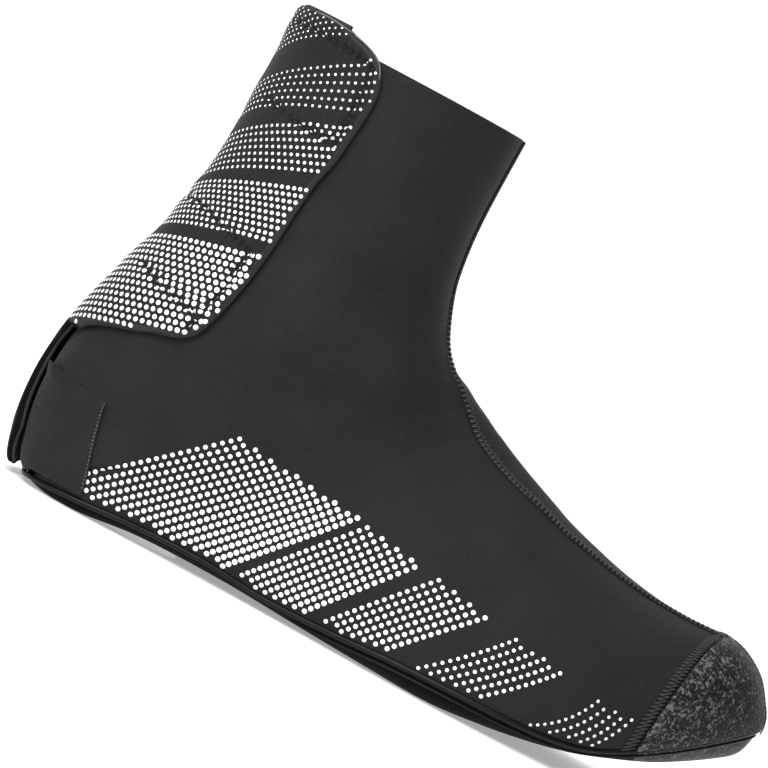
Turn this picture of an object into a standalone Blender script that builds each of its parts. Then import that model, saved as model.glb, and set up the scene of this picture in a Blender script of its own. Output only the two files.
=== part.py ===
"""Cycling overshoe for the right foot: a neoprene upper on a rubberised sole, closed by a panel round the back.

Metres. +X runs to the toe, +Y to the inner side of the foot and +Z up. The sole stands on z = 0.
"""
from collections import namedtuple
from math import cos, pi, sin

import bmesh
import bpy
from mathutils import Matrix, Vector

# Driving sizes of the form, outside the neoprene
LENGTH = 0.290
BALL_WIDTH = 0.102
HEEL_WIDTH = 0.070
COLLAR_WIDTH = 0.076
COLLAR_DEPTH = 0.089
COLLAR_BACK = 0.0281
INSTEP_HEIGHT = 0.0928
COLLAR_HEIGHT = 0.1902

# Walls of the pieces
UPPER_WALL = 0.0030
SOLE_WALL = 0.0025
PANEL_WALL = 0.0030
HOOK_WALL = 0.0012
TOE_CAP_WALL = 0.0010
HEEL_PANEL_WALL = 0.0009
WELT_WALL = 0.0008
SEAM_WALL = 0.0007

# Fits between the pieces
CLEARANCE = 0.0003
JOINT_GAP = 0.0007
OVERLAY_SEAT = 0.0005

# Trim
WELT_WIDTH = 0.0026
WELT_CROWN = 0.0004
WELT_START = 0.035
SEAM_WIDTH = 0.0036
SEAM_CROWN = 0.0003

# The rear panel: how far it is wrapped to the inner side, its strip down the heel and its rise past the collar
PANEL_WRAP = 0.052
PANEL_SEWN_MARGIN = 0.020
PANEL_RISE = 0.0062
PANEL_SHOULDER = 0.020
PANEL_END_BACK = 0.0022
PANEL_END_SIDE = 0.0036
STRIP_REACH = 0.0085

# Openings in the sole
CLEAT_OPENING_LENGTH = 0.062
CLEAT_OPENING_WIDTH = 0.050
CLEAT_OPENING_AT = 0.186
CLEAT_OPENING_SIDE = 0.001
HEEL_OPENING_LENGTH = 0.034
HEEL_OPENING_WIDTH = 0.038
HEEL_OPENING_AT = 0.060

# Sections of the form from above the collar to the tip of the toe. Each is a plane across the foot from a
# point on the front line to a point on the back or bottom line. Front and back x are shares of the length,
# or on the shaft of the collar's depth from its back. A height of 1 is the instep's and of 2 the collar's.
# Outer and inner are shares of the widths named below, ridge is how far the front line lies to the inner
# side, widest is where between front and back the section is widest, and the two round columns are the
# exponents of its front and back halves: 2 is an ellipse, more is squarer.
Section = namedtuple(
    "Section", "front_x front_z back_x back_z outer inner ridge widest front_round back_round"
)
SHAFT_SECTIONS = [
    Section(0.991, 2.110, 0.011, 2.110, 0.500, 0.500, 0.000, 0.50, 2.10, 2.15),
    Section(0.990, 2.000, 0.000, 2.000, 0.500, 0.500, 0.000, 0.50, 2.10, 2.15),
    Section(0.988, 1.690, 0.000, 1.690, 0.500, 0.500, 0.000, 0.50, 2.10, 2.15),
    Section(1.004, 1.495, -0.010, 1.464, 0.500, 0.500, 0.000, 0.50, 2.10, 2.15),
    Section(1.036, 1.361, -0.030, 1.300, 0.506, 0.500, 0.000, 0.50, 2.08, 2.15),
]
HEEL_SECTIONS = [
    Section(0.437, 1.215, 0.0735, 1.105, 0.550, 0.536, 0.010, 0.50, 2.05, 2.20),
    Section(0.462, 1.140, 0.057, 0.943, 0.550, 0.529, 0.020, 0.52, 2.00, 2.22),
    Section(0.485, 1.105, 0.037, 0.754, 0.543, 0.521, 0.030, 0.54, 2.00, 2.25),
    Section(0.503, 1.073, 0.023, 0.560, 0.529, 0.514, 0.040, 0.56, 2.00, 2.30),
    Section(0.519, 1.049, 0.019, 0.356, 0.514, 0.507, 0.045, 0.58, 1.95, 2.40),
    Section(0.531, 1.030, 0.027, 0.162, 0.507, 0.500, 0.050, 0.60, 1.95, 2.60),
    Section(0.541, 1.014, 0.050, 0.034, 0.500, 0.493, 0.050, 0.62, 1.95, 4.40),
]
FOOT_SECTIONS = [
    Section(0.553, 0.998, 0.114, -0.008, 0.343, 0.333, 0.035, 0.64, 1.92, 7.00),
    Section(0.569, 0.974, 0.214, 0.021, 0.353, 0.328, 0.037, 0.66, 1.90, 6.00),
    Section(0.588, 0.948, 0.328, 0.023, 0.377, 0.333, 0.039, 0.68, 1.87, 5.20),
    Section(0.612, 0.917, 0.441, 0.008, 0.422, 0.353, 0.042, 0.70, 1.85, 5.00),
    Section(0.641, 0.882, 0.538, -0.002, 0.475, 0.397, 0.045, 0.72, 1.85, 5.00),
    Section(0.676, 0.839, 0.614, -0.008, 0.505, 0.446, 0.048, 0.73, 1.85, 5.00),
    Section(0.717, 0.801, 0.683, 0.011, 0.515, 0.485, 0.050, 0.72, 1.90, 5.00),
    Section(0.762, 0.765, 0.745, 0.038, 0.495, 0.490, 0.050, 0.70, 2.00, 4.80),
    Section(0.810, 0.739, 0.803, 0.074, 0.446, 0.475, 0.040, 0.66, 2.15, 4.40),
    Section(0.855, 0.728, 0.853, 0.122, 0.377, 0.441, 0.030, 0.62, 2.30, 3.90),
    Section(0.898, 0.728, 0.898, 0.174, 0.315, 0.400, 0.020, 0.58, 2.40, 3.30),
    Section(0.935, 0.712, 0.936, 0.234, 0.240, 0.345, 0.010, 0.55, 2.40, 2.80),
    Section(0.968, 0.652, 0.969, 0.296, 0.150, 0.272, 0.000, 0.52, 2.30, 2.45),
    Section(0.988, 0.574, 0.991, 0.350, 0.066, 0.196, 0.000, 0.50, 2.10, 2.20),
    Section(0.998, 0.526, 0.9995, 0.418, 0.000, 0.129, 0.000, 0.50, 2.00, 2.00),
    Section(1.001, 0.479, 1.001, 0.479, -0.065, 0.065, 0.000, 0.50, 2.00, 2.00),
]

# Height of the line where upper and sole meet, along the length from heel to toe
WeltPoint = namedtuple("WeltPoint", "along height")
WELT_LINE = [
    WeltPoint(0.045, 0.030),
    WeltPoint(0.070, 0.036),
    WeltPoint(0.128, 0.045),
    WeltPoint(0.207, 0.064),
    WeltPoint(0.300, 0.070),
    WeltPoint(0.390, 0.054),
    WeltPoint(0.480, 0.065),
    WeltPoint(0.550, 0.082),
    WeltPoint(0.620, 0.091),
    WeltPoint(0.700, 0.097),
    WeltPoint(0.760, 0.106),
    WeltPoint(0.800, 0.122),
    WeltPoint(0.830, 0.150),
    WeltPoint(0.862, 0.196),
    WeltPoint(0.897, 0.260),
    WeltPoint(0.931, 0.327),
    WeltPoint(0.965, 0.401),
    WeltPoint(1.001, 0.479),
]

# Outer edge of the rear panel in the side view: the flap from its top down, then the strip down the heel
EdgePoint = namedtuple("EdgePoint", "height along")
PANEL_EDGE = [
    EdgePoint(2.050, 0.158),
    EdgePoint(2.020, 0.192),
    EdgePoint(1.980, 0.209),
    EdgePoint(1.920, 0.219),
    EdgePoint(1.840, 0.2225),
    EdgePoint(1.710, 0.219),
    EdgePoint(1.600, 0.215),
    EdgePoint(1.520, 0.208),
    EdgePoint(1.400, 0.203),
    EdgePoint(1.200, 0.197),
    EdgePoint(1.050, 0.189),
    EdgePoint(0.950, 0.181),
    EdgePoint(0.880, 0.174),
    EdgePoint(0.820, 0.166),
    EdgePoint(0.785, 0.155),
    EdgePoint(0.762, 0.141),
    EdgePoint(0.740, 0.118),
    EdgePoint(0.712, 0.098),
    EdgePoint(0.680, 0.070),
    EdgePoint(0.645, 0.048),
    EdgePoint(0.605, 0.036),
]
STRIP_EDGE = [
    EdgePoint(0.605, 0.028),
    EdgePoint(0.500, 0.021),
    EdgePoint(0.380, 0.021),
    EdgePoint(0.280, 0.024),
    EdgePoint(0.180, 0.032),
    EdgePoint(0.100, 0.040),
    EdgePoint(0.034, 0.052),
]

# Hook and loop patches under the flap: height of the bottom and top edge, x of the rear and front edge
Patch = namedtuple("Patch", "name bottom top rear front")
HOOK_PATCHES = [
    Patch("hook_patch_upper", 1.700, 1.975, 0.100, 0.190),
    Patch("hook_patch_lower", 0.950, 1.230, 0.085, 0.165),
]

# The outer heel patch: its top corners and its front lower corner
HEEL_PANEL_TOP_REAR = EdgePoint(0.450, 0.024)
HEEL_PANEL_TOP_FRONT = EdgePoint(0.425, 0.105)
HEEL_PANEL_FOOT = 0.132
HEEL_PANEL_OFF_WELT = 0.0007
HEEL_PANEL_OFF_STRIP = 0.0010

# The toe cap's rear edge at the sole and on the ridge
TOE_CAP_REAR_LOW = 0.870
TOE_CAP_REAR_TOP = 0.921
TOE_CAP_REAR_SWEEP = 1.6

# Length over the toe from the sole to the ridge, as a share of the ball width
TOE_GIRTH = 0.70

# How far the front seam lies to the outer side of the ridge, as shares of the ball width
SeamPoint = namedtuple("SeamPoint", "along away")
SEAM_LINE = [
    SeamPoint(0.41, 0.00),
    SeamPoint(0.43, 0.04),
    SeamPoint(0.48, 0.10),
    SeamPoint(0.55, 0.14),
    SeamPoint(0.65, 0.15),
    SeamPoint(0.75, 0.14),
    SeamPoint(0.85, 0.10),
    SeamPoint(0.92, 0.08),
]

# Heights where the flap starts to round off and where the heel strip starts to end
KNEE = 0.90
STRIP_FLOOR = 0.18

# Facets. Stations count the sections from 0 above the collar. The upper and the sole have more of them where
# the heel turns under, as shares of the way to the second section of the foot, and on the toe, as steps.
UPPER_STATIONS = [1, 1.33, 1.66, 2, 2.5, 3, 3.5, 4, 4.4, 4.8, 5.3, 5.8, 6.4, 7, 7.6, 8.2, 8.8, 9.4, 10]
HEEL_SHARES = [0.0, 0.03, 0.10, 0.22, 0.40, 0.66, 1.0]
TOE_STATIONS = 6
TOE_STEPS = [0.8, 1.6, 2.4, 3.2, 4.0, 4.7, 5.3]
UPPER_STEP = 1.0
SOLE_STEP = 0.5
HEEL_STEP = 0.35
UPPER_COLUMNS = 26
SOLE_COLUMNS = 14
TURN_WEIGHT = 0.018
# The rim's own narrow row of facets, left out where the sections close at the ends
GUARD = 0.0006
TIP_STATIONS = 0.3
HEEL_END = 0.02
# The welt's rings, as shares of its stations from the heel to the tip
WELT_SHARES = [k / 30 for k in range(25)] + [0.825, 0.85, 0.875, 0.9, 0.925, 0.95, 0.97, 0.985, 0.995]
TOE_CAP_COLUMNS = 22
TOE_CAP_ROWS = 9
TOE_CAP_CROWDING = 1.5
SEAM_SHAFT_STEPS = 16
SEAM_SHAFT_STEP = 0.25
SEAM_FOOT_STEP = 0.5
# The rear panel's rows: shares of its shoulder, of the flap's rounded foot and of the heel strip
SHOULDER_SHARES = [0, 0.08, 0.2, 0.4, 0.7, 1]
SHAFT_ROWS = 9
FLAP_FOOT_SHARES = [0.78, 0.62, 0.52, 0.44, 0.35, 0.25, 0.13, 0]
STRIP_SHARES = [0.8, 0.6, 0.4, 0.2, 0]
STRIP_END_SHARES = [0.66, 0.33, 0]
WING_COLUMNS = 7
WRAP_COLUMNS = 9
HOOK_FACETS = 5
HEEL_PANEL_FACETS = 6
PLUG_SIDES = 32


def level(share):
    """A height above the floor: 1 is the instep and 2 the collar."""
    if share <= 1:
        return share * INSTEP_HEIGHT
    return INSTEP_HEIGHT + (share - 1) * (COLLAR_HEIGHT - INSTEP_HEIGHT)


def sized(row, width, back, depth):
    """A row of a table in metres."""
    half = (row.outer + row.inner) / 2 * width
    centre = (row.inner - row.outer) / 2 * width
    return (
        back + row.front_x * depth,
        level(row.front_z),
        back + row.back_x * depth,
        level(row.back_z),
        half,
        centre,
        row.ridge * width,
        row.widest,
        row.front_round,
        row.back_round,
    )


FORM = (
    [sized(row, COLLAR_WIDTH, COLLAR_BACK, COLLAR_DEPTH) for row in SHAFT_SECTIONS]
    + [sized(row, HEEL_WIDTH, 0, LENGTH) for row in HEEL_SECTIONS]
    + [sized(row, BALL_WIDTH, 0, LENGTH) for row in FOOT_SECTIONS]
)
TIP = len(FORM) - 1
COLLAR = 1
BOTTOM = len(SHAFT_SECTIONS) + len(HEEL_SECTIONS)


def smooth(points, x):
    """The value at x of a smooth curve through points sorted by x."""
    if x <= points[0][0]:
        return points[0][1]
    if x >= points[-1][0]:
        return points[-1][1]
    k = max(i for i in range(len(points) - 1) if points[i][0] <= x)

    def slope(i):
        low, high = max(i - 1, 0), min(i + 1, len(points) - 1)
        return (points[high][1] - points[low][1]) / (points[high][0] - points[low][0])

    (x0, y0), (x1, y1) = points[k][:2], points[k + 1][:2]
    step = x1 - x0
    s = (x - x0) / step
    return (
        y0 * (1 + 2 * s) * (1 - s) ** 2
        + slope(k) * step * s * (1 - s) ** 2
        + y1 * s * s * (3 - 2 * s)
        + slope(k + 1) * step * s * s * (s - 1)
    )


def bisect(low, high, is_low):
    """The place between low and high where is_low changes from true to false."""
    halvings = 36
    for _ in range(halvings):
        middle = (low + high) / 2
        if is_low(middle):
            low = middle
        else:
            high = middle
    return (low + high) / 2


SECTION_CACHE = {}


def section(t):
    """The form's section at station t, by a smooth curve through the table's rows."""
    if t not in SECTION_CACHE:
        k = min(max(int(t), 0), TIP - 1)
        s = t - k
        a, b, c, d = (FORM[min(max(k + i, 0), TIP)] for i in (-1, 0, 1, 2))
        SECTION_CACHE[t] = [
            q + 0.5 * s * (r - p + s * (2 * p - 5 * q + 4 * r - e + s * (3 * (q - r) + e - p)))
            for p, q, r, e in zip(a, b, c, d)
        ]
    return SECTION_CACHE[t]


def skin(t, turn):
    """A point of the form: turn 0 is the front line, -pi the back line, with the outer side between."""
    fx, fz, bx, bz, half, centre, ridge, widest, front_round, back_round = section(t)
    c, s = cos(turn), sin(turn)
    power = front_round if c > 0 else back_round
    reach = (abs(c) ** power + abs(s) ** power) ** (-1 / power)
    tall = c * reach
    share = widest * (1 - tall) if tall > 0 else widest - (1 - widest) * tall
    y = centre + half * s * reach + (ridge * tall * tall if tall > 0 else 0)
    return Vector((fx + (bx - fx) * share, y, fz + (bz - fz) * share))


def skin_out(t, turn, off):
    """The point that lies off outside the form."""
    step = 0.004
    along = skin(min(t + step, TIP), turn) - skin(max(t - step, 0), turn)
    around = skin(t, turn + step) - skin(t, turn - step)
    normal = along.cross(around)
    if normal.length < 1e-12:
        return skin(t, turn) + Vector((off, 0, 0))
    return skin(t, turn) + normal.normalized() * off


def welt_height(x):
    return level(smooth([(p.along * LENGTH, p.height) for p in WELT_LINE], x))


def above_welt(t, turn):
    point = skin(t, turn)
    return point.z - welt_height(point.x)


def split(t, lift, side):
    """The turn where the section at t crosses the welt line raised by lift, on side -1 or 1."""
    return side * bisect(0, pi, lambda turn: above_welt(t, side * turn) > lift)


def heel_station(lift):
    """The station whose back point is on the raised welt line."""
    return bisect(BOTTOM - 4, BOTTOM, lambda t: above_welt(t, pi) > lift)


def tip_station(lift):
    """The last station that reaches the raised welt line, on the front line if lift is up."""
    if lift >= 0:
        return bisect(TIP - 3, TIP, lambda t: above_welt(t, 0) > lift)
    return bisect(TIP - 3, TIP, lambda t: above_welt(t, pi) < lift)


def spread(t, first, last, count):
    """Turns from first to last, spaced evenly by length and by how much the section bends."""
    samples = 180
    turns = [first + (last - first) * k / samples for k in range(samples + 1)]
    points = [skin(t, turn) for turn in turns]
    measure = [0.0]
    for k in range(samples):
        step = points[k + 1] - points[k]
        bend = 0.0
        if k > 0:
            before = points[k] - points[k - 1]
            if before.length > 1e-9 and step.length > 1e-9:
                bend = before.angle(step)
        measure.append(measure[-1] + step.length + TURN_WEIGHT * bend)
    found = []
    k = 0
    for i in range(count + 1):
        wanted = measure[-1] * i / count
        while k < samples - 1 and measure[k + 1] < wanted:
            k += 1
        width = measure[k + 1] - measure[k]
        share = (wanted - measure[k]) / width if width > 0 else 0.0
        found.append(turns[k] + (turns[k + 1] - turns[k]) * min(max(share, 0.0), 1.0))
    return found


def walk(t, turn, distance):
    """The turn reached from turn by going distance along the section towards rising turns."""
    steps = 4
    nudge = 0.002
    for _ in range(steps):
        speed = (skin(t, turn + nudge) - skin(t, turn - nudge)).length / (2 * nudge)
        turn += distance / steps / max(speed, 1e-5)
    return turn


def station_at(x):
    """The station whose front line is at x, on the foot."""
    return bisect(BOTTOM, TIP, lambda t: section(t)[0] < x)


def at_height(z, turn):
    """The station where the line of this turn passes height z, on the shaft or the heel."""
    return bisect(0, BOTTOM, lambda t: skin(t, turn).z > z)


def straight_down(t, turn, z):
    """The station and turn at height z, straight below a point of the skin."""
    start = skin(t, turn)
    nudge, steps = 0.002, 12
    for k in range(steps):
        here = skin(t, turn)
        along = (skin(t + nudge, turn) - here) / nudge
        around = (skin(t, turn + nudge) - here) / nudge
        sideways = Vector((0, 0, 1)).cross(along.cross(around)).normalized()
        aside = (start - here).dot(sideways)
        down = start.z + (z - start.z) * min(1, 2 * (k + 1) / steps) - here.z
        area = along.dot(sideways) * around.z - around.dot(sideways) * along.z
        t += (aside * around.z - around.dot(sideways) * down) / area
        turn += (along.dot(sideways) * down - along.z * aside) / area
    return t, turn


def turn_at_x(z, x, side):
    """The turn on side -1 or 1 where the level section at height z is at x, behind its widest place."""
    found = bisect(0.25 * pi, pi, lambda turn: skin(at_height(z, side * turn), side * turn).x > x)
    return side * found


def level_spread(z, first, last, count):
    """Turns from first to last, evenly spaced by length along the level section at height z."""
    samples = 40
    turns = [first + (last - first) * k / samples for k in range(samples + 1)]
    points = [skin(at_height(z, turn), turn) for turn in turns]
    lengths = [0.0]
    for a, b in zip(points, points[1:]):
        lengths.append(lengths[-1] + (b - a).length)
    return [smooth(list(zip(lengths, turns)), lengths[-1] * i / count) for i in range(count + 1)]


def back_turn(z, distance):
    """The turn that lies distance from the back line along the level section, inner side positive."""
    turn, step = -pi, 0.02 if distance < 0 else -0.02
    last = skin(at_height(z, turn), turn)
    gone = 0.0
    while gone < abs(distance):
        turn += step
        point = skin(at_height(z, turn), turn)
        gone += (point - last).length
        last = point
    return turn


# Making the pieces


def shaded(name, colour, roughness):
    material = bpy.data.materials.new(name)
    material.use_nodes = True
    shader = material.node_tree.nodes["Principled BSDF"]
    shader.inputs["Base Color"].default_value = (*colour, 1.0)
    shader.inputs["Roughness"].default_value = roughness
    shader.inputs["Metallic"].default_value = 0.0
    material.diffuse_color = (*colour, 1.0)
    return material


def sheet(name, rows, wall, material, collection):
    """A piece from a grid of points on its outer face, thickened inwards. Rows run down or to the toe, and
    their points from the outer side round the back, or under the sole, to the inner side."""
    mesh = bpy.data.meshes.new(name)
    work = bmesh.new()
    grid = [[work.verts.new(point) for point in row] for row in rows]
    for upper, lower in zip(grid, grid[1:]):
        for a, b, c, d in zip(upper, upper[1:], lower[1:], lower):
            work.faces.new((a, b, c, d))
    finish_sheet(work, mesh)
    return thicken(name, mesh, wall, material, collection)


def finish_sheet(work, mesh):
    bmesh.ops.remove_doubles(work, verts=work.verts, dist=0.00002)
    bmesh.ops.dissolve_degenerate(work, edges=work.edges, dist=0.00002)
    work.to_mesh(mesh)
    work.free()


def thicken(name, mesh, wall, material, collection):
    piece = bpy.data.objects.new(name, mesh)
    collection.objects.link(piece)
    mesh.materials.append(material)
    solid = piece.modifiers.new("wall", "SOLIDIFY")
    solid.thickness = wall
    solid.offset = -1.0
    solid.use_even_offset = True
    solid.use_quality_normals = True
    return piece


def foot_stations(heel, tip, step):
    """Stations from the heel to the tip of the toe, step apart along the middle of the foot."""
    stations = [heel + (BOTTOM + 1 - heel) * share for share in HEEL_SHARES]
    while stations[-1] < TIP - TOE_STATIONS:
        stations.append(stations[-1] + step)
    toe = stations[-1]
    return stations + [toe + ahead for ahead in TOE_STEPS] + [tip]


def make_upper(collection):
    lift = JOINT_GAP / 2
    heel, tip = heel_station(lift), tip_station(lift)
    rows = []
    for t in UPPER_STATIONS + [heel - HEEL_STEP] + foot_stations(heel, tip, UPPER_STEP):
        if t <= heel:
            turns = spread(t, -pi, pi, UPPER_COLUMNS + 2)
        else:
            first, last = split(t, lift, -1), split(t, lift, 1)
            inner = (walk(t, first, GUARD), walk(t, last, -GUARD))
            if t > tip - TIP_STATIONS:
                turns = spread(t, first, last, UPPER_COLUMNS + 2)
            else:
                turns = [first] + spread(t, *inner, UPPER_COLUMNS) + [last]
        rows.append([skin(t, turn) for turn in reversed(turns)])
    material = shaded("neoprene_jersey", (0.028, 0.028, 0.030), 0.62)
    return sheet("upper", rows, UPPER_WALL, material, collection)


def make_sole(collection):
    lift = -JOINT_GAP / 2
    heel, tip = heel_station(lift), tip_station(lift)
    rows = []
    for t in foot_stations(heel, tip, SOLE_STEP):
        first, last = split(t, lift, -1), split(t, lift, 1) - 2 * pi
        if t > tip - TIP_STATIONS or t < heel + HEEL_END:
            turns = spread(t, first, last, SOLE_COLUMNS + 2)
        else:
            turns = [first] + spread(t, walk(t, first, -GUARD), walk(t, last, GUARD), SOLE_COLUMNS) + [last]
        points = [skin(t, turn) for turn in turns]
        rows.append([Vector((p.x, p.y, max(p.z, 0.0))) for p in points])
    material = shaded("rubberised_fabric", (0.010, 0.010, 0.011), 0.55)
    return sheet("sole", rows, SOLE_WALL, material, collection)


def opening_cutter(name, length, width, at, lateral, collection):
    """An upright oval plug that cuts an opening through the sole."""
    bpy.ops.mesh.primitive_cylinder_add(vertices=PLUG_SIDES, radius=0.5, depth=1.0)
    cutter = bpy.context.object
    cutter.name = name
    cutter.data.transform(Matrix.Diagonal((length, width, INSTEP_HEIGHT / 2, 1)))
    cutter.location = (at, lateral, 0)
    for home in list(cutter.users_collection):
        home.objects.unlink(cutter)
    collection.objects.link(cutter)
    cutter.hide_render = True
    cutter.display_type = "WIRE"
    return cutter


def cut(piece, cutter):
    boolean = piece.modifiers.new("opening", "BOOLEAN")
    boolean.operation = "DIFFERENCE"
    boolean.solver = "EXACT"
    boolean.object = cutter


def welt_run(lift, off, start):
    """Points along the welt line raised by lift, from the outer heel round the toe to the inner heel."""
    tip = tip_station(lift)
    stations = [start + (tip - start) * share for share in WELT_SHARES]
    outer = [skin_out(t, split(t, lift, -1), off) for t in stations]
    inner = [skin_out(t, split(t, lift, 1), off) for t in stations]
    just_short = tip - 0.001
    end = skin_out(just_short, 0 if lift >= 0 else pi, off)
    return outer + [end] + inner[::-1]


def make_welt(collection):
    start = bisect(BOTTOM - 2, BOTTOM + 1, lambda t: skin(t, split(t, 0, -1)).x < WELT_START)
    edge = CLEARANCE + WELT_WALL
    rows = [
        welt_run(-WELT_WIDTH / 2, edge, start),
        welt_run(0, edge + WELT_CROWN, start),
        welt_run(WELT_WIDTH / 2, edge, start),
    ]
    material = shaded("bonded_piping", (0.012, 0.012, 0.013), 0.45)
    return sheet("welt", rows, WELT_WALL, material, collection)


def toe_cap_rear(climb):
    """Where the toe cap's rear edge is along the length, at a share of the way from the sole to the top."""
    return (TOE_CAP_REAR_LOW + (TOE_CAP_REAR_TOP - TOE_CAP_REAR_LOW) * climb ** TOE_CAP_REAR_SWEEP) * LENGTH


def make_toe_cap(collection):
    lift = WELT_WIDTH / 2 + CLEARANCE
    tip = tip_station(lift)
    off = OVERLAY_SEAT + TOE_CAP_WALL
    rows = []
    for i in range(TOE_CAP_ROWS + 1):
        row = []
        for j in range(TOE_CAP_COLUMNS + 1):
            climb = 1 - abs(2 * j / TOE_CAP_COLUMNS - 1)
            rear = station_at(toe_cap_rear(climb))
            t = rear + (tip - rear) * (1 - (1 - i / TOE_CAP_ROWS) ** TOE_CAP_CROWDING)
            turn = spread(t, split(t, lift, 1), split(t, lift, -1), TOE_CAP_COLUMNS)[j]
            row.append(skin_out(t, turn, off))
        rows.append(row)
    material = shaded("abrasion_cloth", (0.060, 0.060, 0.060), 0.70)
    return sheet("toe_cap", rows, TOE_CAP_WALL, material, collection)


def make_front_seam(collection):
    edge = CLEARANCE + SEAM_WALL
    away = SEAM_LINE[-1].away * BALL_WIDTH + SEAM_WIDTH
    end = station_at(toe_cap_rear(1 - away / (BALL_WIDTH * TOE_GIRTH)) - CLEARANCE)
    top = bisect(0, COLLAR + 1, lambda t: skin(t, 0).z > COLLAR_HEIGHT - CLEARANCE)
    stations = [top + k * SEAM_SHAFT_STEP for k in range(SEAM_SHAFT_STEPS)]
    while stations[-1] + SEAM_FOOT_STEP < end:
        stations.append(stations[-1] + SEAM_FOOT_STEP)
    stations[-1] = end
    rows = []
    for t in stations:
        away = smooth([(p.along * LENGTH, p.away * BALL_WIDTH) for p in SEAM_LINE], section(t)[0])
        middle = walk(t, 0, -away)
        sides = (walk(t, middle, SEAM_WIDTH / 2), middle, walk(t, middle, -SEAM_WIDTH / 2))
        rise = (edge, edge + SEAM_CROWN, edge)
        rows.append([skin_out(t, turn, off) for turn, off in zip(sides, rise)])
    material = shaded("seam_thread", (0.020, 0.020, 0.021), 0.60)
    return sheet("front_seam", rows, SEAM_WALL, material, collection)


def ease(share):
    """A soft step from 0 to 1 as share goes from 0 to 1."""
    share = min(max(share, 0.0), 1.0)
    return share * share * (3 - 2 * share)


def panel_off(distance):
    """How far the rear panel's outer face is off the form: free on the hooks, sewn down at the inner seam."""
    free = CLEARANCE + HOOK_WALL + CLEARANCE + PANEL_WALL
    sewn = OVERLAY_SEAT + PANEL_WALL
    return free + (sewn - free) * ease(1 - (PANEL_WRAP - distance) / PANEL_SEWN_MARGIN)


def panel_height(z, distance, x):
    """A row's height, brought down to the collar on the inner side and kept above the sole's edge."""
    shoulder = COLLAR_HEIGHT - PANEL_SHOULDER
    if z > shoulder:
        fall = (PANEL_RISE + CLEARANCE) * ease(distance / PANEL_SEWN_MARGIN)
        return z - fall * (z - shoulder) / (PANEL_RISE + PANEL_SHOULDER)
    floor = level(STRIP_FLOOR)
    if z < floor:
        away = ease((x / LENGTH - STRIP_EDGE[-1].along) / STRIP_FLOOR)
        end = welt_height(x) + PANEL_END_BACK + (PANEL_END_SIDE - PANEL_END_BACK) * away
        return end + (floor - end) * z / floor
    return z


def make_closure_panel(collection):
    """Level rows from the rise past the collar to the end of the heel strip. The wing is the flap in front
    of the strip, and the wrap goes on from the strip round the back to the inner seam."""
    edge = [(level(p.height), p.along * LENGTH) for p in reversed(PANEL_EDGE)]
    strip = [(level(p.height), p.along * LENGTH) for p in reversed(STRIP_EDGE)]
    foot, knee, top = edge[0][0], level(KNEE), COLLAR_HEIGHT + PANEL_RISE
    heights = [top - PANEL_SHOULDER * share for share in SHOULDER_SHARES]
    shaft = heights[-1]
    heights += [shaft + (knee - shaft) * k / SHAFT_ROWS for k in range(1, SHAFT_ROWS + 1)]
    heights += [foot + (knee - foot) * share for share in FLAP_FOOT_SHARES]
    wing_rows = len(heights)
    floor = level(STRIP_FLOOR)
    heights += [floor + (foot - floor) * share for share in STRIP_SHARES]
    heights += [floor * share for share in STRIP_END_SHARES]
    mesh = bpy.data.meshes.new("closure_panel")
    work = bmesh.new()
    grid = []
    for i, height in enumerate(heights):
        z = max(height, floor)
        if z < foot:
            strip_turn = turn_at_x(z, smooth(strip, z), -1)
        else:
            strip_turn = back_turn(z, -STRIP_REACH)
        turns = level_spread(z, strip_turn, back_turn(z, PANEL_WRAP), WRAP_COLUMNS)
        if i < wing_rows - 1:
            turns = level_spread(z, turn_at_x(z, smooth(edge, z), -1), strip_turn, WING_COLUMNS)[:-1] + turns
        elif i == wing_rows - 1:
            turns = [strip_turn] * WING_COLUMNS + turns
        row = []
        for j, turn in enumerate(turns):
            distance = (j - len(turns) + 1 + WRAP_COLUMNS) / WRAP_COLUMNS * PANEL_WRAP
            x = skin(at_height(z, turn), turn).x
            if height < floor:
                t, turn = straight_down(at_height(z, turn), turn, panel_height(height, distance, x))
            else:
                t = at_height(panel_height(height, distance, x), turn)
            row.append(work.verts.new(skin_out(t, turn, panel_off(distance))))
        grid.append(row)
    for upper, lower in zip(grid, grid[1:]):
        upper = upper[-len(lower):]
        for a, b, c, d in zip(upper, upper[1:], lower[1:], lower):
            work.faces.new((a, b, c, d))
    finish_sheet(work, mesh)
    material = shaded("printed_neoprene", (0.030, 0.030, 0.032), 0.60)
    return thicken("closure_panel", mesh, PANEL_WALL, material, collection)


def make_hook_patch(patch, collection):
    rows = []
    for i in range(HOOK_FACETS + 1):
        z = level(patch.top + (patch.bottom - patch.top) * i / HOOK_FACETS)
        first = turn_at_x(z, patch.front * LENGTH, -1)
        last = turn_at_x(z, patch.rear * LENGTH, -1)
        turns = level_spread(z, first, last, HOOK_FACETS)
        rows.append([skin_out(at_height(z, turn), turn, CLEARANCE + HOOK_WALL) for turn in turns])
    material = shaded(patch.name, (0.012, 0.012, 0.012), 0.9)
    return sheet(patch.name, rows, HOOK_WALL, material, collection)


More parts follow.
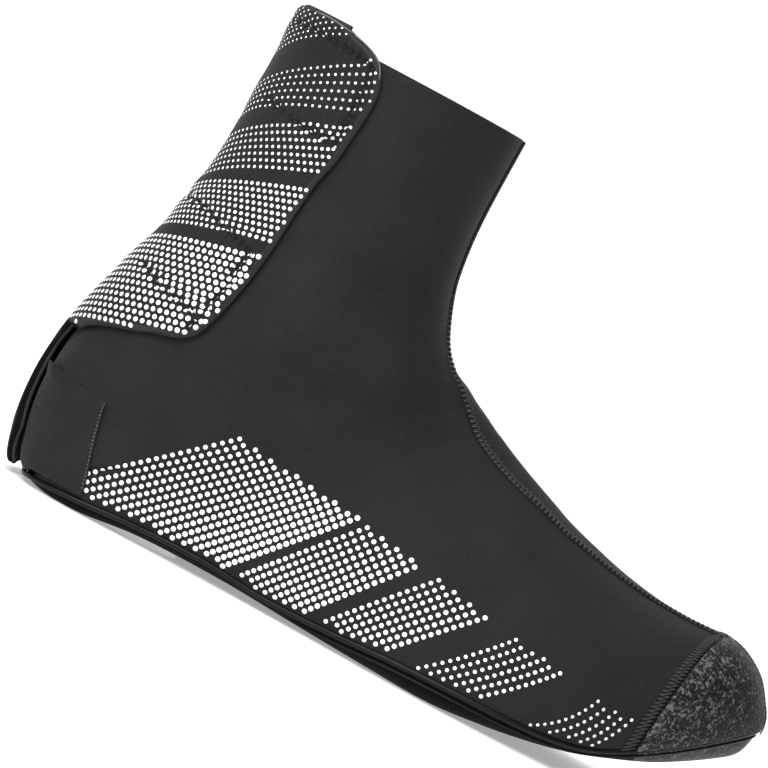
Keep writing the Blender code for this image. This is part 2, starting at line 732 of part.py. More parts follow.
def make_heel_panel(collection):
    strip = [(level(p.height), p.along * LENGTH) for p in reversed(STRIP_EDGE)]
    off = OVERLAY_SEAT + HEEL_PANEL_WALL
    rows = []
    low = welt_height(HEEL_PANEL_FOOT * LENGTH) + WELT_WIDTH / 2 + HEEL_PANEL_OFF_WELT
    for i in range(HEEL_PANEL_FACETS + 1):
        share = i / HEEL_PANEL_FACETS
        z_front = level(HEEL_PANEL_TOP_FRONT.height) * (1 - share) + low * share
        z_rear = level(HEEL_PANEL_TOP_REAR.height) * (1 - share) + low * share
        z = (z_front + z_rear) / 2
        x_front = (HEEL_PANEL_TOP_FRONT.along * (1 - share) + HEEL_PANEL_FOOT * share) * LENGTH
        x_rear = smooth(strip, z) + HEEL_PANEL_OFF_STRIP
        front, rear = turn_at_x(z, x_front, -1), turn_at_x(z, x_rear, -1)
        row = []
        for j, turn in enumerate(level_spread(z, front, rear, HEEL_PANEL_FACETS)):
            height = z_front + (z_rear - z_front) * j / HEEL_PANEL_FACETS
            row.append(skin_out(at_height(height, turn), turn, off))
        rows.append(row)
    material = shaded("heel_cloth", (0.026, 0.026, 0.028), 0.6)
    return sheet("heel_panel", rows, HEEL_PANEL_WALL, material, collection)


def stand_on_origin(pieces):
    """Hangs the pieces on an empty that brings the middle of their box over the origin."""
    bpy.context.view_layer.update()
    graph = bpy.context.evaluated_depsgraph_get()
    corners = [Vector(corner) for piece in pieces for corner in piece.evaluated_get(graph).bound_box]
    centre_x = (min(c.x for c in corners) + max(c.x for c in corners)) / 2
    centre_y = (min(c.y for c in corners) + max(c.y for c in corners)) / 2
    base = bpy.data.objects.new("overshoe_base", None)
    pieces[0].users_collection[0].objects.link(base)
    base.location = (-centre_x, -centre_y, 0)
    for piece in pieces:
        piece.parent = base
    return base


def build():
    for thing in list(bpy.data.objects):
        bpy.data.objects.remove(thing, do_unlink=True)
    overshoe = bpy.data.collections.new("cycling_overshoe")
    cutters = bpy.data.collections.new("cutters")
    bpy.context.scene.collection.children.link(overshoe)
    bpy.context.scene.collection.children.link(cutters)
    sole = make_sole(overshoe)
    cleat = (CLEAT_OPENING_LENGTH, CLEAT_OPENING_WIDTH, CLEAT_OPENING_AT, -CLEAT_OPENING_SIDE)
    heel = (HEEL_OPENING_LENGTH, HEEL_OPENING_WIDTH, HEEL_OPENING_AT, 0)
    plugs = [opening_cutter("cleat_plug", *cleat, cutters), opening_cutter("heel_plug", *heel, cutters)]
    for plug in plugs:
        cut(sole, plug)
    pieces = [
        make_upper(overshoe),
        sole,
        make_welt(overshoe),
        make_toe_cap(overshoe),
        make_front_seam(overshoe),
        make_closure_panel(overshoe),
        make_heel_panel(overshoe),
    ]
    pieces += [make_hook_patch(patch, overshoe) for patch in HOOK_PATCHES]
    base = stand_on_origin(pieces)
    for plug in plugs:
        plug.parent = base


build()
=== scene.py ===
"""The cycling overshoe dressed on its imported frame, with a section for each piece, in the order of making.

Metres. +X runs to the toe, +Y to the inner side of the foot and +Z up. The upper's form is worked out from
the same sections as its solid, and every other piece lies on it.
"""

from collections import namedtuple
from math import cos, pi, radians, sin

import bpy
import numpy as np
from mathutils import Matrix, Vector
from mathutils.bvhtree import BVHTree


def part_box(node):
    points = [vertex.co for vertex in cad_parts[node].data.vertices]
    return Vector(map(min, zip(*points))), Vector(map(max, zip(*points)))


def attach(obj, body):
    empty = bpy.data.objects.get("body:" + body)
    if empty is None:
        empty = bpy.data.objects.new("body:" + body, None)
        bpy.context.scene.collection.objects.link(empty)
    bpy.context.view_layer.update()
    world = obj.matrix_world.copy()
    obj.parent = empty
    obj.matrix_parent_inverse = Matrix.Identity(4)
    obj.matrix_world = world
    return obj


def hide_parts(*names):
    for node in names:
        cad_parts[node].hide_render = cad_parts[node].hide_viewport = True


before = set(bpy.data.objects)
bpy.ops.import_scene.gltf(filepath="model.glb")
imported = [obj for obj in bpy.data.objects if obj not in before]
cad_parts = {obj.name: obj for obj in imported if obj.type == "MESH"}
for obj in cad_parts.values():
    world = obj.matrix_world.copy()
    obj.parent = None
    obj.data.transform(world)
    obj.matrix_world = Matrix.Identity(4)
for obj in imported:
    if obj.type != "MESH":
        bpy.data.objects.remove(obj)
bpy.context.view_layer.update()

# The upper
# The hollow body of the overshoe: foam neoprene, 3 mm thick, with a knitted jersey laminated to both sides.
# It is cut flat in two halves, sewn together down the front, and worn here as if a shoe filled it.

LENGTH = 0.290
BALL_WIDTH = 0.102
HEEL_WIDTH = 0.070
COLLAR_WIDTH = 0.076
COLLAR_DEPTH = 0.089
COLLAR_BACK = 0.0281
INSTEP_HEIGHT = 0.0928
COLLAR_HEIGHT = 0.1902
UPPER_WALL = 0.0030
JOINT_GAP = 0.0007

# Each section is a plane from a point on the front line to one on the back or bottom line. Front and back x
# are shares of the length, or on the shaft of the collar's depth from its back. A height of 1 is the
# instep's and of 2 the collar's. Outer and inner are shares of the width, ridge is how far the front line
# lies to the inner side, widest is where the section is widest, and the round columns are the exponents of
# its two halves.
Section = namedtuple(
    "Section", "front_x front_z back_x back_z outer inner ridge widest front_round back_round"
)
SHAFT_SECTIONS = [
    Section(0.991, 2.110, 0.011, 2.110, 0.500, 0.500, 0.000, 0.50, 2.10, 2.15),
    Section(0.990, 2.000, 0.000, 2.000, 0.500, 0.500, 0.000, 0.50, 2.10, 2.15),
    Section(0.988, 1.690, 0.000, 1.690, 0.500, 0.500, 0.000, 0.50, 2.10, 2.15),
    Section(1.004, 1.495, -0.010, 1.464, 0.500, 0.500, 0.000, 0.50, 2.10, 2.15),
    Section(1.036, 1.361, -0.030, 1.300, 0.506, 0.500, 0.000, 0.50, 2.08, 2.15),
]
HEEL_SECTIONS = [
    Section(0.437, 1.215, 0.0735, 1.105, 0.550, 0.536, 0.010, 0.50, 2.05, 2.20),
    Section(0.462, 1.140, 0.057, 0.943, 0.550, 0.529, 0.020, 0.52, 2.00, 2.22),
    Section(0.485, 1.105, 0.037, 0.754, 0.543, 0.521, 0.030, 0.54, 2.00, 2.25),
    Section(0.503, 1.073, 0.023, 0.560, 0.529, 0.514, 0.040, 0.56, 2.00, 2.30),
    Section(0.519, 1.049, 0.019, 0.356, 0.514, 0.507, 0.045, 0.58, 1.95, 2.40),
    Section(0.531, 1.030, 0.027, 0.162, 0.507, 0.500, 0.050, 0.60, 1.95, 2.60),
    Section(0.541, 1.014, 0.050, 0.034, 0.500, 0.493, 0.050, 0.62, 1.95, 4.40),
]
FOOT_SECTIONS = [
    Section(0.553, 0.998, 0.114, -0.008, 0.343, 0.333, 0.035, 0.64, 1.92, 7.00),
    Section(0.569, 0.974, 0.214, 0.021, 0.353, 0.328, 0.037, 0.66, 1.90, 6.00),
    Section(0.588, 0.948, 0.328, 0.023, 0.377, 0.333, 0.039, 0.68, 1.87, 5.20),
    Section(0.612, 0.917, 0.441, 0.008, 0.422, 0.353, 0.042, 0.70, 1.85, 5.00),
    Section(0.641, 0.882, 0.538, -0.002, 0.475, 0.397, 0.045, 0.72, 1.85, 5.00),
    Section(0.676, 0.839, 0.614, -0.008, 0.505, 0.446, 0.048, 0.73, 1.85, 5.00),
    Section(0.717, 0.801, 0.683, 0.011, 0.515, 0.485, 0.050, 0.72, 1.90, 5.00),
    Section(0.762, 0.765, 0.745, 0.038, 0.495, 0.490, 0.050, 0.70, 2.00, 4.80),
    Section(0.810, 0.739, 0.803, 0.074, 0.446, 0.475, 0.040, 0.66, 2.15, 4.40),
    Section(0.855, 0.728, 0.853, 0.122, 0.377, 0.441, 0.030, 0.62, 2.30, 3.90),
    Section(0.898, 0.728, 0.898, 0.174, 0.315, 0.400, 0.020, 0.58, 2.40, 3.30),
    Section(0.935, 0.712, 0.936, 0.234, 0.240, 0.345, 0.010, 0.55, 2.40, 2.80),
    Section(0.968, 0.652, 0.969, 0.296, 0.150, 0.272, 0.000, 0.52, 2.30, 2.45),
    Section(0.988, 0.574, 0.991, 0.350, 0.066, 0.196, 0.000, 0.50, 2.10, 2.20),
    Section(0.998, 0.526, 0.9995, 0.418, 0.000, 0.129, 0.000, 0.50, 2.00, 2.00),
    Section(1.001, 0.479, 1.001, 0.479, -0.065, 0.065, 0.000, 0.50, 2.00, 2.00),
]

# Height of the line where upper and sole meet, along the length from heel to toe
WeltPoint = namedtuple("WeltPoint", "along height")
WELT_LINE = [
    WeltPoint(0.045, 0.030),
    WeltPoint(0.070, 0.036),
    WeltPoint(0.128, 0.045),
    WeltPoint(0.207, 0.064),
    WeltPoint(0.300, 0.070),
    WeltPoint(0.390, 0.054),
    WeltPoint(0.480, 0.065),
    WeltPoint(0.550, 0.082),
    WeltPoint(0.620, 0.091),
    WeltPoint(0.700, 0.097),
    WeltPoint(0.760, 0.106),
    WeltPoint(0.800, 0.122),
    WeltPoint(0.830, 0.150),
    WeltPoint(0.862, 0.196),
    WeltPoint(0.897, 0.260),
    WeltPoint(0.931, 0.327),
    WeltPoint(0.965, 0.401),
    WeltPoint(1.001, 0.479),
]

# The photo's camera stands this far from the shoe and looks from a little above. Places in the picture are in
# metres, levelled, as large as things are at the aim's distance.
CAMERA_DISTANCE = 1.8
CAMERA_RISE = radians(2.0)
CAMERA_AIM = np.array([0.1134, 0.0, 0.0901])
PICTURE_AIM = np.array([0.1134, 0.0934])
VIEW_AHEAD = np.array([0.0, cos(CAMERA_RISE), -sin(CAMERA_RISE)])
VIEW_UP = np.array([0.0, sin(CAMERA_RISE), cos(CAMERA_RISE)])
CAMERA_EYE = CAMERA_AIM - CAMERA_DISTANCE * VIEW_AHEAD

# Soft creases in the neoprene, from one place to another in the picture, with half width and depth. A
# negative depth is a swelling. They are as deep on the inner side.
Crease = namedtuple("Crease", "from_x from_z to_x to_z width depth")
CREASES = [
    Crease(0.1230, 0.1080, 0.1420, 0.0905, 0.0052, 0.0018),
    Crease(0.1080, 0.1040, 0.1240, 0.0850, 0.0090, -0.0013),
    Crease(0.0950, 0.1230, 0.1130, 0.1110, 0.0050, 0.0006),
    Crease(0.0700, 0.1000, 0.0960, 0.0900, 0.0100, -0.0005),
    Crease(0.2020, 0.0600, 0.2130, 0.0440, 0.0060, 0.0005),
    Crease(0.2180, 0.0590, 0.2290, 0.0420, 0.0060, 0.0005),
]


def level(share):
    """A height above the floor: 1 is the instep and 2 the collar."""
    share = np.asarray(share, float)
    above = INSTEP_HEIGHT + (share - 1) * (COLLAR_HEIGHT - INSTEP_HEIGHT)
    return np.where(share <= 1, share * INSTEP_HEIGHT, above)


def sized(row, width, back, depth):
    """A row of a table in metres."""
    half = (row.outer + row.inner) / 2 * width
    centre = (row.inner - row.outer) / 2 * width
    front = (back + row.front_x * depth, float(level(row.front_z)))
    rear = (back + row.back_x * depth, float(level(row.back_z)))
    return (*front, *rear, half, centre, row.ridge * width, row.widest, row.front_round, row.back_round)


FORM = np.array(
    [sized(row, COLLAR_WIDTH, COLLAR_BACK, COLLAR_DEPTH) for row in SHAFT_SECTIONS]
    + [sized(row, HEEL_WIDTH, 0, LENGTH) for row in HEEL_SECTIONS]
    + [sized(row, BALL_WIDTH, 0, LENGTH) for row in FOOT_SECTIONS]
)
TIP = len(FORM) - 1
COLLAR = 1
BOTTOM = len(SHAFT_SECTIONS) + len(HEEL_SECTIONS)


def smooth(points, x):
    """Values at x of a smooth curve through points sorted by x."""
    px, py = np.array([p[:2] for p in points], float).T
    rise = np.empty_like(py)
    rise[1:-1] = (py[2:] - py[:-2]) / (px[2:] - px[:-2])
    rise[0] = (py[1] - py[0]) / (px[1] - px[0])
    rise[-1] = (py[-1] - py[-2]) / (px[-1] - px[-2])
    x = np.clip(x, px[0], px[-1])
    k = np.clip(np.searchsorted(px, x, side="right") - 1, 0, len(px) - 2)
    step = px[k + 1] - px[k]
    s = (x - px[k]) / step
    start = py[k] * (1 + 2 * s) * (1 - s) ** 2 + rise[k] * step * s * (1 - s) ** 2
    return start + py[k + 1] * s * s * (3 - 2 * s) + rise[k + 1] * step * s * s * (s - 1)


def ease(share):
    """A soft step from 0 to 1 as share goes from 0 to 1."""
    share = np.clip(share, 0.0, 1.0)
    return share * share * (3 - 2 * share)


def bisect(low, high, is_low):
    """The places between low and high where is_low changes from true to false."""
    halvings = 30
    for _ in range(halvings):
        middle = (low + high) / 2
        yes = is_low(middle)
        low, high = np.where(yes, middle, low), np.where(yes, high, middle)
    return (low + high) / 2


def section(t):
    """The form's sections at stations t, by a smooth curve through the tables' rows."""
    k = np.clip(np.floor(t).astype(int), 0, TIP - 1)
    s = (t - k)[..., None]
    p, q, r, e = (FORM[np.clip(k + i, 0, TIP)] for i in (-1, 0, 1, 2))
    return q + 0.5 * s * (r - p + s * (2 * p - 5 * q + 4 * r - e + s * (3 * (q - r) + e - p)))


def skin(t, turn):
    """Points of the form: turn 0 is the front line, -pi the back line, with the outer side between."""
    t, turn = np.broadcast_arrays(np.asarray(t, float), np.asarray(turn, float))
    fx, fz, bx, bz, half, centre, ridge, widest, front_round, back_round = np.moveaxis(section(t), -1, 0)
    c, s = np.cos(turn), np.sin(turn)
    power = np.where(c > 0, front_round, back_round)
    reach = (np.abs(c) ** power + np.abs(s) ** power) ** (-1 / power)
    tall = c * reach
    share = np.where(tall > 0, widest * (1 - tall), widest - (1 - widest) * tall)
    y = centre + half * s * reach + np.where(tall > 0, ridge * tall * tall, 0.0)
    return np.stack([fx + (bx - fx) * share, y, fz + (bz - fz) * share], -1)


def dot(a, b):
    return (a * b).sum(-1)


def unit(vectors):
    length = np.linalg.norm(vectors, axis=-1, keepdims=True)
    return vectors / np.maximum(length, 1e-12)


def outward(t, turn):
    """The form's normals, pointing out."""
    nudge = 0.004
    t, turn = np.broadcast_arrays(np.asarray(t, float), np.asarray(turn, float))
    along = skin(np.minimum(t + nudge, TIP), turn) - skin(np.maximum(t - nudge, 0), turn)
    around = skin(t, turn + nudge) - skin(t, turn - nudge)
    normal = np.cross(along, around)
    flat = np.linalg.norm(normal, axis=-1) < 1e-14
    normal[flat] = (1, 0, 0)
    return unit(normal)


def picture(points):
    """Where points of the outer side, or mirror images of inner points, show in the levelled picture."""
    outer = points * np.where(points[..., [1]] > 0, [1.0, -1.0, 1.0], 1.0)
    away = outer - CAMERA_EYE
    scale = CAMERA_DISTANCE / (away @ VIEW_AHEAD)
    return PICTURE_AIM + np.stack([away[..., 0] * scale, (away @ VIEW_UP) * scale], -1)


def along_line(places, a, b):
    """How far along the line from a to b places are, from 0 to 1, and how far away from it."""
    a, b = np.asarray(a, float), np.asarray(b, float)
    share = np.clip((places - a) @ (b - a) / ((b - a) @ (b - a)), 0, 1)
    return share, np.linalg.norm(places - a - share[..., None] * (b - a), axis=-1)


def relief(points):
    """How far the creases lift or sink the neoprene."""
    places = picture(points)
    lift = np.zeros(points.shape[:-1])
    for crease in CREASES:
        share, away = along_line(places, crease[:2], crease[2:4])
        lift -= crease.depth * np.sin(pi * (0.1 + 0.8 * share)) * np.exp(-((away / crease.width) ** 2))
    middle = 0.010
    return lift * ease(np.abs(points[..., 1]) / middle)


def surface(t, turn, off):
    """Points that lie off outside the neoprene, creases and all."""
    points = skin(t, turn)
    return points + outward(t, turn) * (off + relief(points))[..., None]


def welt_height(x):
    return level(smooth([(p.along * LENGTH, p.height) for p in WELT_LINE], x))


def above_welt(t, turn):
    points = skin(t, turn)
    return points[..., 2] - welt_height(points[..., 0])


def split(t, lift, side):
    """The turns where the sections at t cross the welt line raised by lift, on side -1 or 1."""
    t = np.asarray(t, float)
    low, high = np.zeros_like(t), np.full_like(t, pi)
    return side * bisect(low, high, lambda turn: above_welt(t, side * turn) > lift)


def heel_station(lift):
    """The station whose back point is on the raised welt line."""
    return float(bisect(BOTTOM - 4.0, float(BOTTOM), lambda t: above_welt(t, pi) > lift))


def tip_station(lift):
    """The last station that reaches the raised welt line."""
    if lift >= 0:
        return float(bisect(TIP - 3.0, float(TIP), lambda t: above_welt(t, 0) > lift))
    return float(bisect(TIP - 3.0, float(TIP), lambda t: above_welt(t, pi) < lift))


def even_stations(first, last, count):
    """Stations whose sections are as evenly spaced as they can be at the front, the back and both sides."""
    fine = np.linspace(first, last, 900)
    lines = skin(fine[:, None], np.array([0, -pi / 2, pi / 2, pi])[None])
    steps = np.linalg.norm(np.diff(lines, axis=0), axis=-1).max(axis=1)
    return np.interp(np.linspace(0, 1, count), np.r_[0, np.cumsum(steps)] / steps.sum(), fine)


def spread(t, first, last, count):
    """For each station a row of count turns from first to last, evenly spaced by length."""
    fine = first[:, None] + (last - first)[:, None] * np.linspace(0, 1, 240)
    steps = np.linalg.norm(np.diff(skin(t[:, None], fine), axis=1), axis=-1)
    lengths = np.cumsum(np.c_[np.zeros(len(t)), steps], axis=1)
    wanted = np.linspace(0, 1, count)
    return np.array([np.interp(wanted, row / row[-1], turns) for row, turns in zip(lengths, fine)])


def hex_colour(code):
    """A linear colour from sRGB hex."""
    shares = [int(code[i : i + 2], 16) / 255 for i in (0, 2, 4)]
    return (*(c / 12.92 if c <= 0.04045 else ((c + 0.055) / 1.055) ** 2.4 for c in shares), 1.0)


def add(material, kind, inputs=None, **settings):
    """Adds a node to a material. Each input is a value or the socket that it is linked to."""
    made = material.node_tree.nodes.new(kind)
    for name, value in settings.items():
        setattr(made, name, value)
    for name, value in (inputs or {}).items():
        if isinstance(value, bpy.types.NodeSocket):
            material.node_tree.links.new(value, made.inputs[name])
        else:
            made.inputs[name].default_value = value
    return made


def new_material(name):
    """An empty node material and its shader, with the weak gloss that all of the overshoe has."""
    material = bpy.data.materials.new(name)
    material.use_nodes = True
    shader = material.node_tree.nodes["Principled BSDF"]
    shader.inputs["Specular IOR Level"].default_value = 0.15
    return material, shader


def wire(material, source, shader, name):
    material.node_tree.links.new(source, shader.inputs[name])


def knitted_jersey(name, dark, light, pitch, roughness):
    """Jersey laminated to foam: a fine knit with courses and wales, a short nap that catches light at a
    glancing angle, and a slight cloudiness where the foam was pressed."""
    material, shader = new_material(name)
    place = add(material, "ShaderNodeUVMap", uv_map="surface").outputs["UV"]
    across = add(material, "ShaderNodeSeparateXYZ", {"Vector": place})
    body = add(material, "ShaderNodeTexCoord").outputs["Object"]
    cloud = add(
        material, "ShaderNodeTexNoise", {"Vector": body, "Scale": 38.0, "Detail": 4.0, "Roughness": 0.6}
    )
    fleck = add(
        material, "ShaderNodeTexNoise", {"Vector": body, "Scale": 900.0, "Detail": 3.0, "Roughness": 0.7}
    )
    tone = add(material, "ShaderNodeMath", {0: cloud.outputs["Fac"], 1: 0.45}, operation="MULTIPLY")
    tone = add(
        material, "ShaderNodeMath", {0: fleck.outputs["Fac"], 1: 0.55, 2: tone.outputs[0]},
        operation="MULTIPLY_ADD"
    )
    colour = add(material, "ShaderNodeMix", data_type="RGBA")
    colour.inputs["A"].default_value = hex_colour(dark)
    colour.inputs["B"].default_value = hex_colour(light)
    span = add(material, "ShaderNodeMapRange", {"Value": tone.outputs[0], "From Min": 0.38, "From Max": 0.62})
    material.node_tree.links.new(span.outputs["Result"], colour.inputs["Factor"])
    wire(material, colour.outputs["Result"], shader, "Base Color")
    course = add(
        material, "ShaderNodeMath", {0: across.outputs["Y"], 1: 2 * pi / pitch}, operation="MULTIPLY"
    )
    sway = add(material, "ShaderNodeTexNoise", {"Vector": body, "Scale": 260.0, "Detail": 2.0})
    bent = add(
        material, "ShaderNodeMath", {0: sway.outputs["Fac"], 1: 5.0, 2: course.outputs[0]},
        operation="MULTIPLY_ADD"
    )
    rib = add(material, "ShaderNodeMath", {0: bent.outputs[0]}, operation="SINE")
    wale = add(material, "ShaderNodeMath", {0: across.outputs["X"], 1: 2 * pi / pitch}, operation="MULTIPLY")
    wale = add(material, "ShaderNodeMath", {0: wale.outputs[0]}, operation="SINE")
    knit = add(
        material, "ShaderNodeMath", {0: wale.outputs[0], 1: 0.45, 2: rib.outputs[0]},
        operation="MULTIPLY_ADD"
    )
    nap = add(
        material, "ShaderNodeMath", {0: fleck.outputs["Fac"], 1: 3.0, 2: knit.outputs[0]},
        operation="MULTIPLY_ADD"
    )
    bump = add(material, "ShaderNodeBump", {"Height": nap.outputs[0], "Strength": 0.35, "Distance": 0.00012})
    wire(material, bump.outputs["Normal"], shader, "Normal")
    shader.inputs["Roughness"].default_value = roughness
    shader.inputs["Sheen Weight"].default_value = 0.04
    shader.inputs["Sheen Roughness"].default_value = 0.45
    shader.inputs["Sheen Tint"].default_value = hex_colour("d8dade")
    return material


JERSEY_PITCH = 0.00086
jersey = knitted_jersey("laminated_knitted_jersey", "121213", "1b1b1c", JERSEY_PITCH, 0.72)
lining = knitted_jersey("brushed_lining_jersey", "1c1c1d", "29292a", JERSEY_PITCH, 0.85)


def cut_foam():
    """The cut edge of the laminate: closed-cell foam between two thin dark skins, dull and finely pitted."""
    material, shader = new_material("cut_neoprene_foam")
    body = add(material, "ShaderNodeTexCoord").outputs["Object"]
    # Real cells are 0.2 mm across, and are drawn at twice that
    cell = add(material, "ShaderNodeTexVoronoi", {"Vector": body, "Scale": 2600.0})
    colour = add(material, "ShaderNodeMix", {"Factor": cell.outputs["Distance"]}, data_type="RGBA")
    colour.inputs["A"].default_value = hex_colour("1f1f20")
    colour.inputs["B"].default_value = hex_colour("303032")
    wire(material, colour.outputs["Result"], shader, "Base Color")
    bump = add(
        material, "ShaderNodeBump",
        {"Height": cell.outputs["Distance"], "Strength": 0.4, "Distance": 0.0001}
    )
    wire(material, bump.outputs["Normal"], shader, "Normal")
    shader.inputs["Roughness"].default_value = 0.8
    return material


foam = cut_foam()

# The frame stands over the middle of its box, and the form starts at the heel
form_width = skin(np.linspace(COLLAR, TIP, 600)[:, None], np.linspace(-pi, pi, 240)[None])
BASE = np.array([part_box("sole")[1][0] - FORM[TIP][0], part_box("upper")[1][1] - form_width[..., 1].max(), 0.0])


def grid_faces(rows, columns):
    """Quads over a grid of points, whose outer side faces out where rows run to the toe and turns rise."""
    corner = np.arange(rows * columns).reshape(rows, columns)
    faces = np.stack([corner[:-1, :-1], corner[1:, :-1], corner[1:, 1:], corner[:-1, 1:]], -1)
    return faces.reshape(-1, 4)


def plain_piece(name, points, faces, materials, slot, replaced=()):
    """A smooth mesh on the frame, of faces with any number of corners."""
    mesh = bpy.data.meshes.new(name)
    mesh.from_pydata((points + BASE).tolist(), [], faces)
    for material in materials:
        mesh.materials.append(material)
    mesh.shade_smooth()
    piece = bpy.data.objects.new(name, mesh)
    bpy.context.scene.collection.objects.link(piece)
    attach(piece, "root")
    if replaced:
        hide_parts(*replaced)
    return piece


def cloth_piece(name, points, faces, materials, slot, replaced, place, kinds=None):
    """A smooth piece with each point's own place on the cloth, in metres, and each face's material."""
    piece = plain_piece(name, points.reshape(-1, 3), faces.tolist(), materials, slot, replaced)
    mesh = piece.data
    if kinds is not None:
        mesh.polygons.foreach_set("material_index", np.asarray(kinds, np.int32))
    corners = np.empty(len(mesh.loops), np.int32)
    mesh.loops.foreach_get("vertex_index", corners)
    layer = mesh.uv_layers.new(name="surface")
    layer.data.foreach_set("uv", place.reshape(-1, 2)[corners].astype(np.float32).ravel())
    return piece


def cloth_place(points):
    """Each grid point's distances around and along the cloth, measured from the middle of its row."""
    around = np.linalg.norm(np.diff(points, axis=1), axis=-1)
    around = np.cumsum(np.c_[np.zeros(len(points)), around], axis=1)
    around -= around[:, [points.shape[1] // 2]]
    along = np.linalg.norm(np.diff(points, axis=0), axis=-1)
    along = np.cumsum(np.r_[np.zeros((1, points.shape[1])), along], axis=0)
    return np.stack([around, along], -1)


def weld(piece):
    """Joins the two ends of rows that close round the back."""
    modifier = piece.modifiers.new("back_line", "WELD")
    modifier.merge_threshold = 0.00001


def thicken(piece, wall, inside=0, rim=0):
    solid = piece.modifiers.new("wall", "SOLIDIFY")
    solid.thickness = wall
    solid.offset = -1.0
    solid.material_offset = inside
    solid.material_offset_rim = rim


UPPER_ROWS = 230
UPPER_COLUMNS = 200


def make_upper():
    lift = JOINT_GAP / 2
    heel, tip = heel_station(lift), tip_station(lift)
    stations = even_stations(COLLAR, tip, UPPER_ROWS)
    stations[np.abs(stations - heel).argmin()] = heel
    open_below = stations > heel
    first, last = np.full(UPPER_ROWS, -pi), np.full(UPPER_ROWS, pi)
    first[open_below] = split(stations[open_below], lift, -1)
    last[open_below] = split(stations[open_below], lift, 1)
    turns = spread(stations, first, last, UPPER_COLUMNS)
    points = surface(stations[:, None], turns, 0.0)
    faces = grid_faces(*turns.shape)
    slots = [jersey, lining, foam]
    place = cloth_place(points)
    piece = cloth_piece("upper_shell", points, faces, slots, "neoprene_jersey", ["upper"], place)
    weld(piece)
    thicken(piece, UPPER_WALL, inside=1, rim=2)
    return points


upper_points = make_upper()

# The front seam
# The two halves meet edge to edge down the shin and the instep. They are glued, and a wide zigzag of black
# polyester thread over a narrow knitted strip holds them flat.

SEAM_WIDTH = 0.0036
SEAM_TAPE_RISE = 0.00055
SEAM_THREAD_RISE = 0.00072
SEAM_THREAD_DIP = 0.0007
SEAM_THREAD_REACH = 0.52
SEAM_CROWN = 0.0003
SEAM_STITCH = 0.0019
SEAM_THREAD = 0.00030
THREAD_END = 0.55
SEAM_TAPE = 0.0004
SEAM_STEP = 0.0008
SEAM_END_GAP = 0.0003
TOE_CAP_REAR_LOW = 0.870
TOE_CAP_REAR_TOP = 0.921
TOE_CAP_REAR_SWEEP = 1.6
TOE_GIRTH = 0.70

# How far the seam lies to the outer side of the front line, as shares of the ball width
SeamPoint = namedtuple("SeamPoint", "along away")
SEAM_LINE = [
    SeamPoint(0.41, 0.00),
    SeamPoint(0.43, 0.04),
    SeamPoint(0.48, 0.10),
    SeamPoint(0.55, 0.14),
    SeamPoint(0.65, 0.15),
    SeamPoint(0.75, 0.14),
    SeamPoint(0.85, 0.10),
    SeamPoint(0.92, 0.08),
]


def thread_material(name, dark, light):
    """Spun polyester thread: twisted plies that give it a fine rope grain and a dry satin gloss."""
    material, shader = new_material(name)
    body = add(material, "ShaderNodeTexCoord").outputs["Object"]
    ply = add(material, "ShaderNodeTexNoise", {"Vector": body, "Scale": 1400.0, "Detail": 2.0})
    colour = add(material, "ShaderNodeMix", {"Factor": ply.outputs["Fac"]}, data_type="RGBA")
    colour.inputs["A"].default_value = hex_colour(dark)
    colour.inputs["B"].default_value = hex_colour(light)
    wire(material, colour.outputs["Result"], shader, "Base Color")
    bump = add(
        material, "ShaderNodeBump", {"Height": ply.outputs["Fac"], "Strength": 0.5, "Distance": 0.0001}
    )
    wire(material, bump.outputs["Normal"], shader, "Normal")
    shader.inputs["Roughness"].default_value = 0.5
    return material


thread = thread_material("spun_polyester_thread", "101011", "464648")
seam_tape = thread_material("black_knitted_tape", "060606", "161617")
pale_thread = thread_material("grey_polyester_thread", "3a3a3c", "8a8a8c")


def walk(t, turn, distance):
    """The turns reached by going distance along the sections towards rising turns."""
    steps, nudge = 6, 0.002
    for _ in range(steps):
        speed = np.linalg.norm(skin(t, turn + nudge) - skin(t, turn - nudge), axis=-1) / (2 * nudge)
        turn = turn + distance / steps / np.maximum(speed, 1e-5)
    return turn


def station_at(x):
    """The stations whose front line is at x, on the foot."""
    x = np.asarray(x, float)
    low, high = np.full_like(x, BOTTOM), np.full_like(x, TIP)
    return bisect(low, high, lambda t: section(t)[..., 0] < x)


def toe_cap_rear(climb):
    """Where the toe cap's rear edge is along the length, at a share of the way from the sole to the top."""
    return (TOE_CAP_REAR_LOW + (TOE_CAP_REAR_TOP - TOE_CAP_REAR_LOW) * climb**TOE_CAP_REAR_SWEEP) * LENGTH


def seam_middle(t):
    """The turn of the seam's middle line at each station."""
    away = smooth([(p.along * LENGTH, p.away * BALL_WIDTH) for p in SEAM_LINE], section(t)[..., 0])
    return walk(t, np.zeros_like(t), -away)


def stitches(runs, radius, sides=6):
    """One mesh of threads. Each run is a row of points and the surface normals there."""
    points, faces = [], []
    for line, normal in runs:
        along = unit(np.gradient(line, axis=0))
        side = unit(np.cross(along, normal))
        up = np.cross(side, along)
        angles = np.arange(sides) * 2 * pi / sides
        ring = np.cos(angles)[:, None] * side[:, None] + np.sin(angles)[:, None] * up[:, None]
        taper = np.ones(len(line))
        taper[[0, -1]] = THREAD_END
        start = len(points)
        tube = line[:, None] + ring * radius * taper[:, None, None]
        points.extend(tube.reshape(-1, 3))
        for i in range(len(line) - 1):
            for j in range(sides):
                a, b = start + i * sides + j, start + i * sides + (j + 1) % sides
                faces.append((a, b, b + sides, a + sides))
        faces.append(tuple(range(start + sides - 1, start - 1, -1)))
        end = start + (len(line) - 1) * sides
        faces.append(tuple(range(end, end + sides)))
    return np.array(points), faces


